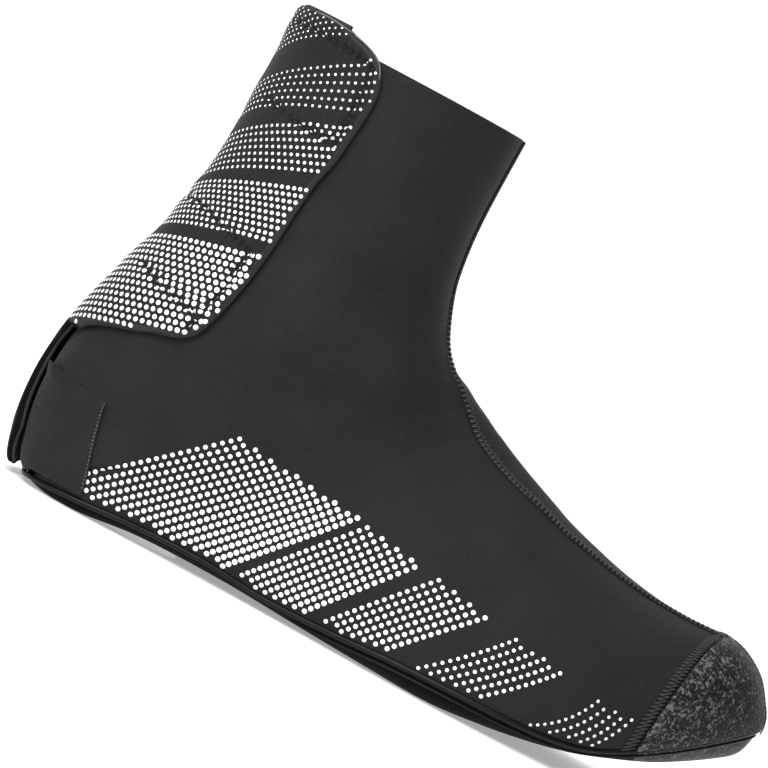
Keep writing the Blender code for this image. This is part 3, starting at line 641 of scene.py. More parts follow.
def even_line(points, step):
    """Shares from 0 to 1 that cut a line of points into equal lengths near step."""
    lengths = np.r_[0, np.cumsum(np.linalg.norm(np.diff(points, axis=0), axis=-1))]
    count = max(2, int(round(lengths[-1] / step)))
    return np.interp(np.linspace(0, 1, count + 1), lengths / lengths[-1], np.linspace(0, 1, len(points)))


def make_front_seam():
    top = float(bisect(0.0, COLLAR + 1.0, lambda t: skin(t, 0)[..., 2] > COLLAR_HEIGHT - SEAM_END_GAP))
    away = SEAM_LINE[-1].away * BALL_WIDTH + SEAM_WIDTH
    end = float(station_at(toe_cap_rear(1 - away / (BALL_WIDTH * TOE_GIRTH)) - SEAM_END_GAP))
    fine = np.linspace(top, end, 1200)
    line = skin(fine, seam_middle(fine))
    t = np.interp(even_line(line, SEAM_STEP), np.linspace(0, 1, len(fine)), fine)
    middle = seam_middle(t)
    across = np.linspace(-1, 1, 7)
    turns = np.stack([walk(t, middle, a * SEAM_WIDTH / 2) for a in across], -1)
    off = SEAM_TAPE_RISE + SEAM_CROWN * (1 - across**2)
    points = surface(t[:, None], turns, off[None])
    points[:, [0, -1]] = surface(t[:, None], turns[:, [0, -1]], np.array([0.0]))
    faces = grid_faces(*turns.shape)
    piece = cloth_piece(
        "front_seam_strip", points, faces, [seam_tape], "seam_thread", ["front_seam"], cloth_place(points)
    )
    thicken(piece, SEAM_TAPE)
    runs = []
    t = np.interp(even_line(line, SEAM_STITCH / 2), np.linspace(0, 1, len(fine)), fine)
    for i, (a, b) in enumerate(zip(t, t[1:])):
        side = 1 if i % 2 else -1
        run = np.linspace(0, 1, 5)
        station = a + (b - a) * run
        reach = side * (1 - 2 * run) * SEAM_WIDTH * SEAM_THREAD_REACH
        turn = walk(station, seam_middle(station), reach)
        lift = SEAM_THREAD_RISE + SEAM_CROWN - SEAM_THREAD_DIP * np.abs(1 - 2 * run) ** 4
        runs.append((surface(station, turn, lift), outward(station, turn)))
    plain_piece("front_seam_zigzag", *stitches(runs, SEAM_THREAD), [thread], "seam_thread")


make_front_seam()

# The heel patch
# A thin patch of the same jersey laminate on the outer side of the heel, sewn down the front with a fine
# thread and tucked under the closing strip behind. Its rear top corner stands off a little.

OVERLAY_SEAT = 0.0005
WELT_WIDTH = 0.0026
HEEL_PANEL_WALL = 0.0009
HEEL_PANEL_OFF_WELT = 0.0007
HEEL_PANEL_OFF_STRIP = 0.0010
HEEL_PANEL_FOOT = 0.132
HEEL_ROWS = 48
HEEL_COLUMNS = 48
HEEL_THREAD = 0.00012

# The edge of the strip down the heel, which the patch runs up to, and the patch's two top corners
EdgePoint = namedtuple("EdgePoint", "height along")
STRIP_EDGE = [
    EdgePoint(0.605, 0.028),
    EdgePoint(0.500, 0.021),
    EdgePoint(0.380, 0.021),
    EdgePoint(0.280, 0.024),
    EdgePoint(0.180, 0.032),
    EdgePoint(0.100, 0.040),
    EdgePoint(0.034, 0.052),
]
HEEL_PANEL_TOP_REAR = EdgePoint(0.450, 0.024)
HEEL_PANEL_TOP_FRONT = EdgePoint(0.425, 0.105)


def at_height(z, turn):
    """The stations where the lines of these turns pass height z, on the shaft or the heel."""
    z, turn = np.broadcast_arrays(np.asarray(z, float), np.asarray(turn, float))
    low, high = np.zeros(z.shape), np.full(z.shape, float(BOTTOM))
    return bisect(low, high, lambda t: skin(t, turn)[..., 2] > z)


def turn_at_x(z, x, side):
    """The turns on side -1 or 1 where the level sections at z are at x, behind their widest place."""
    z, x = np.broadcast_arrays(np.asarray(z, float), np.asarray(x, float))
    low, high = np.full(z.shape, 0.25 * pi), np.full(z.shape, pi)
    return side * bisect(low, high, lambda turn: skin(at_height(z, side * turn), side * turn)[..., 0] > x)


def level_lengths(z, turns):
    """Distances along the level sections at heights z from each row's first turn."""
    points = skin(at_height(z[:, None], turns), turns)
    steps = np.linalg.norm(np.diff(points, axis=1), axis=-1)
    return np.cumsum(np.c_[np.zeros(len(z)), steps], axis=1)


def level_spread(z, first, last, shares):
    """Rows of turns from first to last, at shares of the length along the level sections at z."""
    fine = first[:, None] + (last - first)[:, None] * np.linspace(0, 1, 60)
    lengths = level_lengths(z, fine)
    return np.array([np.interp(shares * row[-1], row, t) for row, t in zip(lengths, fine)])


def make_heel_patch():
    strip = [(float(level(p.height)), p.along * LENGTH) for p in reversed(STRIP_EDGE)]
    low = float(welt_height(HEEL_PANEL_FOOT * LENGTH)) + WELT_WIDTH / 2 + HEEL_PANEL_OFF_WELT
    down = np.linspace(0, 1, HEEL_ROWS)
    back = np.linspace(0, 1, HEEL_COLUMNS)
    z_front = level(HEEL_PANEL_TOP_FRONT.height) * (1 - down) + low * down
    z_rear = level(HEEL_PANEL_TOP_REAR.height) * (1 - down) + low * down
    z = (z_front + z_rear) / 2
    x_front = (HEEL_PANEL_TOP_FRONT.along * (1 - down) + HEEL_PANEL_FOOT * down) * LENGTH
    x_rear = smooth(strip, z) + HEEL_PANEL_OFF_STRIP
    turns = level_spread(z, turn_at_x(z, x_front, -1), turn_at_x(z, x_rear, -1), back)
    t = at_height(z_front[:, None] + (z_rear - z_front)[:, None] * back, turns)
    seat = OVERLAY_SEAT + HEEL_PANEL_WALL
    loose, loose_wide, loose_deep = 0.0011, 0.40, 0.16
    press, press_deep, press_from = 0.0013, 0.12, 0.72
    corner = ease((back[None] - 1 + loose_wide) / loose_wide) * ease(1 - down[:, None] / loose_deep)
    pressed = press * ease(1 - down[:, None] / press_deep) * ease(1 - (back[None] - press_from) / 0.2)
    points = surface(t, turns, seat + loose * corner - pressed)
    faces = grid_faces(*t.shape)[:, ::-1]
    piece = cloth_piece(
        "heel_patch_jersey", points, faces, [jersey], "neoprene_jersey", ["heel_panel"], cloth_place(points)
    )
    thicken(piece, HEEL_PANEL_WALL)
    run = np.linspace(0.02, 0.97, 120)
    line = np.stack([np.interp(run, down, points[:, 1, i]) for i in range(3)], -1)
    up = outward(np.interp(run, down, t[:, 1]), np.interp(run, down, turns[:, 1]))
    line = line + up * HEEL_THREAD
    stitch, every = 4, 5
    runs = [(line[i : i + stitch], up[i : i + stitch]) for i in range(0, len(line) - every - 1, every)]
    plain_piece("heel_patch_thread", *stitches(runs, HEEL_THREAD), [pale_thread], "seam_thread")


make_heel_patch()

# The sole
# Rubberised woven fabric, cut to the outline of the shoe and turned up a little way at its edge, with an
# opening for the cleat and one for the heel.

SOLE_WALL = 0.0025
CLEAT_OPENING_LENGTH = 0.062
CLEAT_OPENING_WIDTH = 0.050
CLEAT_OPENING_AT = 0.186
CLEAT_OPENING_SIDE = 0.001
HEEL_OPENING_LENGTH = 0.034
HEEL_OPENING_WIDTH = 0.038
HEEL_OPENING_AT = 0.060
TOE_GUARD_REAR = 0.2500
TOE_GUARD_RAKE = 0.20
PLUG_DEPTH = 0.04
PLUG_SIDES = 96


def rubberised():
    """Woven nylon with a rubber coat: the weave shows through as a fine grid under a soft satin film."""
    material, shader = new_material("rubber_coated_woven_nylon")
    place = add(material, "ShaderNodeUVMap", uv_map="surface").outputs["UV"]
    parts = add(material, "ShaderNodeSeparateXYZ", {"Vector": place})
    body = add(material, "ShaderNodeTexCoord").outputs["Object"]
    # Real threads are 0.3 mm apart, and are drawn at three times that
    thread_pitch = 0.0009
    waves = []
    for axis in "XY":
        turn = add(
            material, "ShaderNodeMath", {0: parts.outputs[axis], 1: 2 * pi / thread_pitch},
            operation="MULTIPLY"
        )
        waves.append(add(material, "ShaderNodeMath", {0: turn.outputs[0]}, operation="SINE").outputs[0])
    weave = add(material, "ShaderNodeMath", {0: waves[0], 1: waves[1]}, operation="MULTIPLY")
    grime = add(
        material, "ShaderNodeTexNoise", {"Vector": body, "Scale": 120.0, "Detail": 5.0, "Roughness": 0.65}
    )
    height = add(
        material, "ShaderNodeMath", {0: grime.outputs["Fac"], 1: 2.0, 2: weave.outputs[0]},
        operation="MULTIPLY_ADD"
    )
    bump = add(
        material, "ShaderNodeBump", {"Height": height.outputs[0], "Strength": 0.3, "Distance": 0.00012}
    )
    wire(material, bump.outputs["Normal"], shader, "Normal")
    colour = add(material, "ShaderNodeMix", {"Factor": grime.outputs["Fac"]}, data_type="RGBA")
    colour.inputs["A"].default_value = hex_colour("030304")
    colour.inputs["B"].default_value = hex_colour("09090a")
    wire(material, colour.outputs["Result"], shader, "Base Color")
    rough = add(
        material, "ShaderNodeMapRange", {"Value": grime.outputs["Fac"], "To Min": 0.50, "To Max": 0.70}
    )
    wire(material, rough.outputs["Result"], shader, "Roughness")
    shader.inputs["Specular IOR Level"].default_value = 0.04
    return material


# How far the cap's rear edge leans forward as it climbs, and the places on the frame, brought down to the floor
# along that lean, between which the painted glints thin out from the rear edge and the cloth darkens towards the
# tip as painted shade
CAP_LEAN = 0.18
GLINT_FADE_FROM = 0.104
GLINT_FADE_TO = 0.122


def grained_cloth():
    """Aramid cloth with a grippy resin print: a coarse dark grain, with pale specks of painted glint that thin
    out from the cap's rear edge towards the tip, where the colour is darker as painted shade.
    """
    material, shader = new_material("resin_grained_aramid_cloth")
    body = add(material, "ShaderNodeTexCoord").outputs["Object"]
    grain = add(
        material, "ShaderNodeTexNoise", {"Vector": body, "Scale": 950.0, "Detail": 2.0, "Roughness": 0.6}
    )
    patch = add(
        material, "ShaderNodeTexNoise", {"Vector": body, "Scale": 330.0, "Detail": 4.0, "Roughness": 0.75}
    )
    mixed = add(
        material, "ShaderNodeMath", {0: patch.outputs["Fac"], 1: 0.9, 2: grain.outputs["Fac"]},
        operation="MULTIPLY_ADD"
    )
    parts = add(material, "ShaderNodeSeparateXYZ", {"Vector": body})
    behind = add(
        material, "ShaderNodeMath", {0: parts.outputs["Z"], 1: -CAP_LEAN, 2: parts.outputs["X"]},
        operation="MULTIPLY_ADD"
    )
    # Painted light: by the cap's rear edge the colour is lifted into more pale glint specks, as painted
    # highlight, and towards the tip it is darkened, as painted shade
    reach = {"From Min": GLINT_FADE_FROM, "From Max": GLINT_FADE_TO, "To Min": 0.41, "To Max": 0.47}
    wear_and_glint_shift = add(material, "ShaderNodeMapRange", {"Value": behind.outputs[0], **reach})
    fac = add(
        material, "ShaderNodeMath", {0: mixed.outputs[0], 1: wear_and_glint_shift.outputs["Result"]}, operation="SUBTRACT"
    )
    ramp = add(material, "ShaderNodeValToRGB", {"Fac": fac.outputs[0]})
    ramp.color_ramp.elements[0].position = 0.44
    ramp.color_ramp.elements[0].color = hex_colour("0c0c0d")
    ramp.color_ramp.elements[1].position = 0.57
    ramp.color_ramp.elements[1].color = hex_colour("242426")
    # The palest stop is painted glint: pale specks of highlight put into the base colour
    glint = ramp.color_ramp.elements.new(0.68)
    glint.color = hex_colour("58585b")
    wire(material, ramp.outputs["Color"], shader, "Base Color")
    height = add(
        material, "ShaderNodeMath", {0: patch.outputs["Fac"], 1: 0.5, 2: grain.outputs["Fac"]},
        operation="MULTIPLY_ADD"
    )
    bump = add(material, "ShaderNodeBump", {"Height": height.outputs[0], "Strength": 1.0, "Distance": 0.0006})
    wire(material, bump.outputs["Normal"], shader, "Normal")
    shader.inputs["Roughness"].default_value = 0.5
    return material


grained = grained_cloth()
rubber = rubberised()
SOLE_ROWS = 200
SOLE_COLUMNS = 110


def make_sole():
    lift = -JOINT_GAP / 2
    heel, tip = heel_station(lift), tip_station(lift)
    stations = even_stations(heel, tip, SOLE_ROWS)
    first, last = split(stations, lift, -1), split(stations, lift, 1) - 2 * pi
    turns = spread(stations, last, first, SOLE_COLUMNS)
    points = surface(stations[:, None], turns, 0.0)
    points[..., 2] = np.maximum(points[..., 2], 0.0)
    faces = grid_faces(*turns.shape)
    place = cloth_place(points)
    rear = points[:-1, :-1, 0] - TOE_GUARD_RAKE * points[:-1, :-1, 2]
    kinds = np.where(rear > TOE_GUARD_REAR, 2, 0).ravel()
    slots = [rubber, lining, grained]
    piece = cloth_piece("sole_shell", points, faces, slots, "rubberised_fabric", ["sole"], place, kinds)
    thicken(piece, SOLE_WALL, inside=1)
    for name, length, width, at, lateral in (
        ("cleat_plug", CLEAT_OPENING_LENGTH, CLEAT_OPENING_WIDTH, CLEAT_OPENING_AT, -CLEAT_OPENING_SIDE),
        ("heel_plug", HEEL_OPENING_LENGTH, HEEL_OPENING_WIDTH, HEEL_OPENING_AT, 0.0),
    ):
        bpy.ops.mesh.primitive_cylinder_add(vertices=PLUG_SIDES, radius=0.5, depth=1.0)
        plug = bpy.context.object
        plug.name = name
        plug.data.transform(Matrix.Diagonal((length, width, PLUG_DEPTH, 1)))
        plug.data.transform(Matrix.Translation(Vector(BASE) + Vector((at, lateral, 0))))
        cut = piece.modifiers.new(name, "BOOLEAN")
        cut.object = plug
        cut.solver = "EXACT"
    bpy.context.view_layer.update()
    cut_mesh = bpy.data.meshes.new_from_object(piece.evaluated_get(bpy.context.evaluated_depsgraph_get()))
    piece.modifiers.clear()
    piece.data = cut_mesh
    for name in ("cleat_plug", "heel_plug"):
        bpy.data.objects.remove(bpy.data.objects[name])


make_sole()

# The piping
# A thin bonded cord covers the joint of upper and sole, from the outer heel round the toe to the inner heel.

WELT_START = 0.014
WELT_RADIUS = 0.0010
WELT_STEP = 0.0013
WELT_SEAT = 0.0003
LOWER_LINE_START = 0.125
LOWER_LINE_SEAT = 0.0001
LOWER_LINE_DROP = 0.0026
LOWER_LINE_RADIUS = 0.00045


def piping_material():
    """Extruded rubber cord: smooth and satin black."""
    material, shader = new_material("extruded_rubber_piping")
    body = add(material, "ShaderNodeTexCoord").outputs["Object"]
    wear_and_glint_shift = add(material, "ShaderNodeTexNoise", {"Vector": body, "Scale": 300.0, "Detail": 3.0})
    colour = add(material, "ShaderNodeMix", {"Factor": wear_and_glint_shift.outputs["Fac"]}, data_type="RGBA")
    colour.inputs["A"].default_value = hex_colour("040405")
    colour.inputs["B"].default_value = hex_colour("0c0c0d")
    wire(material, colour.outputs["Result"], shader, "Base Color")
    bump = add(
        material, "ShaderNodeBump", {"Height": wear_and_glint_shift.outputs["Fac"], "Strength": 0.2, "Distance": 0.0001}
    )
    wire(material, bump.outputs["Normal"], shader, "Normal")
    shader.inputs["Roughness"].default_value = 0.42
    return material


piping = piping_material()


def welt_path(lift, off, start):
    """Points and normals on the welt line raised by lift, from the outer heel round the toe to the inner."""
    tip = tip_station(lift)
    fine = start + (tip - start) * (1 - (1 - np.linspace(0, 1, 900)) ** 2)
    outer, inner = split(fine, lift, -1), split(fine, lift, 1)
    t = np.r_[fine, fine[::-1]]
    turn = np.r_[outer, inner[::-1]]
    line, normal = surface(t, turn, off), outward(t, turn)
    wanted = even_line(line, WELT_STEP)
    at = np.linspace(0, 1, len(line))
    even = np.stack([np.interp(wanted, at, line[:, i]) for i in range(3)], -1)
    up = unit(np.stack([np.interp(wanted, at, normal[:, i]) for i in range(3)], -1))
    return even, up


def make_welt():
    start = float(bisect(BOTTOM - 3.0, BOTTOM + 1.0, lambda t: skin(t, split(t, 0, -1))[..., 0] < WELT_START))
    line, normal = welt_path(0.0, WELT_SEAT, start)
    cord = stitches([(line, normal)], WELT_RADIUS, sides=10)
    plain_piece("welt_piping", *cord, [piping], "piping", ["welt"])
    start = float(
        bisect(BOTTOM - 1.0, TIP - 4.0, lambda t: skin(t, split(t, 0, -1))[..., 0] < LOWER_LINE_START)
    )
    line, normal = welt_path(-LOWER_LINE_DROP, LOWER_LINE_SEAT, start)
    plain_piece("sole_bead", *stitches([(line, normal)], LOWER_LINE_RADIUS, sides=8), [piping], "piping")


make_welt()

# The toe cap
# A coarse abrasion resistant cloth laid over the toe in two halves, sewn together over the middle. It is
# overlocked at its rear edge and caught under the piping.

TOE_CAP_WALL = 0.0010
TOE_CAP_COLUMNS = 150
TOE_CAP_ROWS = 80
TOE_CAP_CROWDING = 1.5
UNDER_PIPING = 0.0006


def make_toe_cap():
    lift = WELT_WIDTH / 2 - UNDER_PIPING
    tip = tip_station(lift)
    climb = 1 - np.abs(np.linspace(1, -1, TOE_CAP_COLUMNS))
    rear = station_at(toe_cap_rear(climb))
    along = 1 - (1 - np.linspace(0, 1, TOE_CAP_ROWS)) ** TOE_CAP_CROWDING
    t = rear[None] + (tip - rear[None]) * along[:, None]
    flat = t.ravel()
    rows = spread(flat, split(flat, lift, -1), split(flat, lift, 1), TOE_CAP_COLUMNS)
    column = np.tile(np.arange(TOE_CAP_COLUMNS), TOE_CAP_ROWS)
    turns = rows[np.arange(len(flat)), column].reshape(t.shape)
    points = surface(t, turns, OVERLAY_SEAT + TOE_CAP_WALL)
    faces = grid_faces(*t.shape)
    place = cloth_place(points)
    piece = cloth_piece("toe_cap_cloth", points, faces, [grained], "toe_cloth", ["toe_cap"], place)
    thicken(piece, TOE_CAP_WALL)


make_toe_cap()
OVERLOCK_WIDTH = 0.0044
OVERLOCK_STITCH = 0.0017
OVERLOCK_THREAD = 0.00026
OVERLOCK_RISE = 0.0003
OVERLOCK_START = 0.0003
CAP_SEAM_WIDTH = 0.0030
CAP_SEAM_ASIDE = 0.004
THREAD_PROUD = 0.0001


def behind_cap(share, back):
    """Stations and turns at shares of the way over the toe, at distances behind the cap's rear edge."""
    climb = 1 - np.abs(1 - 2 * share)
    t = station_at(toe_cap_rear(climb) - back)
    lift = WELT_WIDTH / 2 - UNDER_PIPING
    count = 240
    rows = spread(t, split(t, lift, -1), split(t, lift, 1), count)
    whole = np.arange(count)
    return t, np.array([np.interp(s * (count - 1), whole, row) for s, row in zip(share, rows)])


def make_overlock():
    share = np.linspace(0, 1, 160)
    backs = np.linspace(OVERLOCK_START, OVERLOCK_WIDTH, 6)
    places = [behind_cap(share, back) for back in backs]
    t, turns = (np.stack([place[n] for place in places[::-1]]) for n in (0, 1))
    lift = np.array([0.0, 1, 1, 1, 1, 0])[:, None] * OVERLOCK_RISE
    points = surface(t, turns, lift)
    cloth_piece(
        "toe_overlock_band", points, grid_faces(*t.shape), [seam_tape], "seam_thread", (),
        cloth_place(points)
    )
    line = surface(*behind_cap(share, OVERLOCK_WIDTH / 2), 0.0)
    share = np.interp(even_line(line, OVERLOCK_STITCH / 2), np.linspace(0, 1, len(share)), share)
    fine = np.linspace(0, 1, 5)
    runs = []
    for i, (a, b) in enumerate(zip(share, share[1:])):
        zig = fine if i % 2 else 1 - fine
        t, turn = behind_cap(a + (b - a) * fine, OVERLOCK_WIDTH * (0.05 + 0.95 * zig))
        runs.append((surface(t, turn, OVERLOCK_RISE + THREAD_PROUD), outward(t, turn)))
    plain_piece("toe_overlock_thread", *stitches(runs, OVERLOCK_THREAD, sides=5), [thread], "seam_thread")


def make_cap_seam():
    """The zigzag that joins the cap's two halves over the middle of the toe."""
    after_edge, before_tip = 0.02, 0.35
    rear = float(station_at(toe_cap_rear(1.0))) + after_edge
    fine = np.linspace(rear, TIP - before_tip, 300)
    line = skin(fine, walk(fine, np.zeros_like(fine), -CAP_SEAM_ASIDE))
    stations = np.interp(even_line(line, OVERLOCK_STITCH / 2), np.linspace(0, 1, len(fine)), fine)
    run = np.linspace(0, 1, 5)
    off = OVERLAY_SEAT + TOE_CAP_WALL + THREAD_PROUD
    runs = []
    for i, (a, b) in enumerate(zip(stations, stations[1:])):
        t = a + (b - a) * run
        zig = (1 if i % 2 else -1) * (1 - 2 * run) * CAP_SEAM_WIDTH / 2
        turn = walk(t, np.zeros_like(t), zig - CAP_SEAM_ASIDE)
        runs.append((surface(t, turn, off), outward(t, turn)))
    plain_piece("toe_cap_seam", *stitches(runs, OVERLOCK_THREAD, sides=5), [thread], "toe_cloth")


make_overlock()
make_cap_seam()

# The closure panel
# A second piece of the same neoprene, sewn on at the inner side, wrapped round the back and closed on the
# outer side by two patches of hook tape. Below them it runs down the heel as a narrow strip.

PANEL_WALL = 0.0030
HOOK_WALL = 0.0012
CLEARANCE = 0.0003
PANEL_WRAP = 0.052
PANEL_SEWN_MARGIN = 0.020
PANEL_RISE = 0.0062
PANEL_SHOULDER = 0.020
PANEL_END_BACK = 0.0022
PANEL_END_SIDE = 0.0036
STRIP_REACH = 0.0085
STRIP_FLOOR = 0.18

# Outer edge of the panel in the side view: the flap from its top down, then the strip down the heel
PANEL_EDGE = [
    EdgePoint(2.050, 0.158),
    EdgePoint(2.020, 0.192),
    EdgePoint(1.980, 0.209),
    EdgePoint(1.920, 0.219),
    EdgePoint(1.840, 0.2225),
    EdgePoint(1.710, 0.219),
    EdgePoint(1.600, 0.215),
    EdgePoint(1.520, 0.208),
    EdgePoint(1.400, 0.203),
    EdgePoint(1.200, 0.197),
    EdgePoint(1.050, 0.189),
    EdgePoint(0.950, 0.181),
    EdgePoint(0.880, 0.174),
    EdgePoint(0.820, 0.166),
    EdgePoint(0.785, 0.155),
    EdgePoint(0.762, 0.141),
    EdgePoint(0.740, 0.118),
    EdgePoint(0.712, 0.098),
    EdgePoint(0.680, 0.070),
    EdgePoint(0.645, 0.048),
    EdgePoint(0.605, 0.036),
]
WING_COLUMNS = 84
WRAP_COLUMNS = 80
EDGE_COLUMNS = 14
ROLLED_SHARE = 0.07
EDGE_WIDTH = 0.0028
EDGE_DROP = 0.0019
FOAM_EDGE = 0.0018
SEAM_SINK = 0.0015
SEAM_SINK_WIDTH = 0.0009
PUCKER = 0.00060
PUCKER_REACH = 0.0026
PUCKER_PITCH = 0.0031
PATCH_SWELL = 0.0006
PATCH_SWELL_WIDTH = 0.0050
PATCH_SWELL_AT = 0.004

# The rows of stitches that hold the hook patches on the panel's inner face, as lines in the picture
PATCH_SEAMS = [
    [(0.0245, 0.1935), (0.0450, 0.1930), (0.0565, 0.1912)],
    [(0.0565, 0.1912), (0.0577, 0.1760), (0.0572, 0.1612)],
    [(0.0290, 0.1640), (0.0400, 0.1612), (0.0572, 0.1606)],
    [(0.0200, 0.1200), (0.0270, 0.1190), (0.0330, 0.1163), (0.0400, 0.1150), (0.0485, 0.1122)],
    [(0.0485, 0.1122), (0.0475, 0.1000), (0.0455, 0.0900), (0.0425, 0.0785)],
    [(0.0170, 0.0910), (0.0250, 0.0872), (0.0350, 0.0850), (0.0440, 0.0832)],
]


def back_turn(z, distance):
    """The turns that lie distance from the back line along the level sections, inner side positive."""
    z = np.atleast_1d(np.asarray(z, float))
    way = -1 if distance > 0 else 1
    turns = -pi + way * np.linspace(0, 2.2, 200) * np.ones((len(z), 1))
    lengths = level_lengths(z, turns)
    return np.array([np.interp(abs(distance), row, t) for row, t in zip(lengths, turns)])


def straight_down(t, turn, z):
    """The stations and turns at heights z, straight below points of the skin."""
    start = skin(t, turn)
    nudge, steps = 0.002, 12
    for k in range(steps):
        here = skin(t, turn)
        along = (skin(t + nudge, turn) - here) / nudge
        around = (skin(t, turn + nudge) - here) / nudge
        sideways = unit(np.cross([0.0, 0.0, 1.0], np.cross(along, around)))
        aside = dot(start - here, sideways)
        down = start[..., 2] + (z - start[..., 2]) * min(1, 2 * (k + 1) / steps) - here[..., 2]
        area = dot(along, sideways) * around[..., 2] - dot(around, sideways) * along[..., 2]
        t = t + (aside * around[..., 2] - dot(around, sideways) * down) / area
        turn = turn + (dot(along, sideways) * down - along[..., 2] * aside) / area
    return t, turn


def panel_off(distance):
    """How far the panel's outer face is off the form: free on the hooks, sewn down at the inner seam."""
    free = CLEARANCE + HOOK_WALL + CLEARANCE + PANEL_WALL
    sewn = OVERLAY_SEAT + PANEL_WALL
    return free + (sewn - free) * ease(1 - (PANEL_WRAP - distance) / PANEL_SEWN_MARGIN)


def panel_height(z, distance, x):
    """A row's height, brought down to the collar on the inner side and kept above the sole's edge."""
    shoulder = COLLAR_HEIGHT - PANEL_SHOULDER
    fall = (PANEL_RISE + CLEARANCE) * ease(distance / PANEL_SEWN_MARGIN)
    high = z - fall * (z - shoulder) / (PANEL_RISE + PANEL_SHOULDER)
    floor = float(level(STRIP_FLOOR))
    away = ease((x / LENGTH - STRIP_EDGE[-1].along) / STRIP_FLOOR)
    end = welt_height(x) + PANEL_END_BACK + (PANEL_END_SIDE - PANEL_END_BACK) * away
    return np.where(z > shoulder, high, np.where(z < floor, end + (floor - end) * z / floor, z))


def panel_grid():
    """Heights, stations and turns of the panel's face in level rows, which rows have the flap, and how far
    each column is from the back line."""
    edge = [(float(level(p.height)), p.along * LENGTH) for p in reversed(PANEL_EDGE)]
    strip = [(float(level(p.height)), p.along * LENGTH) for p in reversed(STRIP_EDGE)]
    foot, floor, top = edge[0][0], float(level(STRIP_FLOOR)), COLLAR_HEIGHT + PANEL_RISE
    # Level rows, closest at the rounded top
    heights = np.r_[
        top - 0.010 * np.linspace(0, 1, 26) ** 1.5,
        np.linspace(top - 0.0106, level(0.86), 150),
        np.linspace(level(0.85), foot, 66)[:-1],
        foot,
        np.linspace(foot, floor, 50)[1:],
        np.linspace(floor, 0, 16)[1:],
    ]
    z = np.maximum(heights, floor)
    wing = heights >= foot
    strip_turn = np.where(z < foot, turn_at_x(z, smooth(strip, z), -1), back_turn(z, -STRIP_REACH))
    wrap = level_spread(z, strip_turn, back_turn(z, PANEL_WRAP), np.linspace(0, 1, WRAP_COLUMNS))
    front = np.where(heights > foot, turn_at_x(z, smooth(edge, z), -1), strip_turn)
    rolled = np.linspace(0, ROLLED_SHARE, EDGE_COLUMNS)[:-1]
    shares = np.r_[rolled, np.linspace(ROLLED_SHARE, 1, WING_COLUMNS - EDGE_COLUMNS + 2)]
    flap = level_spread(z, front, strip_turn - 1e-9, shares)[:, :-1]
    turns = np.concatenate([flap, wrap], axis=1)
    distance = (np.arange(turns.shape[1]) - WING_COLUMNS) / (WRAP_COLUMNS - 1) * PANEL_WRAP
    rows = np.repeat(z[:, None], turns.shape[1], axis=1)
    t = at_height(rows, turns)
    x = skin(t, turns)[..., 0]
    target = panel_height(np.repeat(heights[:, None], turns.shape[1], axis=1), distance[None], x)
    t = at_height(target, turns)
    low = heights < floor
    t[low], turns[low] = straight_down(at_height(rows[low], turns[low]), turns[low], target[low])
    return heights, wing, t, turns, distance


def edge_distance(points, wing):
    """How far each point is from the panel's outline."""
    foot = int(np.nonzero(wing)[0][-1])
    outline = [
        points[: foot + 1, 0],
        points[0],
        points[foot, :WING_COLUMNS],
        points[foot:, WING_COLUMNS],
        points[-1, WING_COLUMNS:],
        points[:, -1],
    ]
    outline = np.concatenate(outline)
    away = np.empty(points.shape[:2])
    for i, row in enumerate(points):
        away[i] = np.linalg.norm(row[:, None] - outline[None], axis=-1).min(axis=1)
    return away


def seam_relief(points):
    """How far the patch seams pull the panel's face in, with small puckers across them, and how far it swells
    beside them."""
    places = picture(points)
    outer = points[..., 1] < 0
    sink = np.zeros(places.shape[:2])
    swell = np.zeros(places.shape[:2])
    for seam in PATCH_SEAMS:
        run = 0.0
        for a, b in zip(seam, seam[1:]):
            length = float(np.hypot(b[0] - a[0], b[1] - a[1]))
            share, away = along_line(places, a, b)
            wave = np.sin(2 * pi * (run + share * length) / PUCKER_PITCH)
            pull = SEAM_SINK * np.exp(-((away / SEAM_SINK_WIDTH) ** 2))
            pull += PUCKER * wave * np.exp(-((away / PUCKER_REACH) ** 2))
            sink = np.maximum(sink, pull)
            swell = np.maximum(swell, np.exp(-(((away - PATCH_SWELL_AT) / PATCH_SWELL_WIDTH) ** 2)))
            run += length
    return (PATCH_SWELL * swell - sink) * outer


def sample(grid, row, column):
    """Values between the points of a grid, at fractions of its rows and columns."""
    i = np.clip(np.floor(row).astype(int), 0, grid.shape[0] - 2)
    j = np.clip(np.floor(column).astype(int), 0, grid.shape[1] - 2)
    a, b = row - i, column - j
    if grid.ndim == 3:
        a, b = a[..., None], b[..., None]
    top = grid[i, j] * (1 - b) + grid[i, j + 1] * b
    return top * (1 - a) + (grid[i + 1, j] * (1 - b) + grid[i + 1, j + 1] * b) * a


def two_sided(faces, kinds, count, inside, rim):
    """Faces of an outer grid, of the inner grid, numbered count higher, and of the rim between them."""
    there = {(a, b) for face in faces.tolist() for a, b in zip(face, face[1:] + face[:1])}
    open_edges = [(a, b) for a, b in there if (b, a) not in there]
    edges = [(b, a, a + count, b + count) for a, b in open_edges]
    every = np.concatenate([faces, faces[:, ::-1] + count, np.array(edges)])
    return every, np.r_[kinds, np.full(len(faces), inside), np.full(len(edges), rim)]


Panel = namedtuple("Panel", "heights points normals away around")


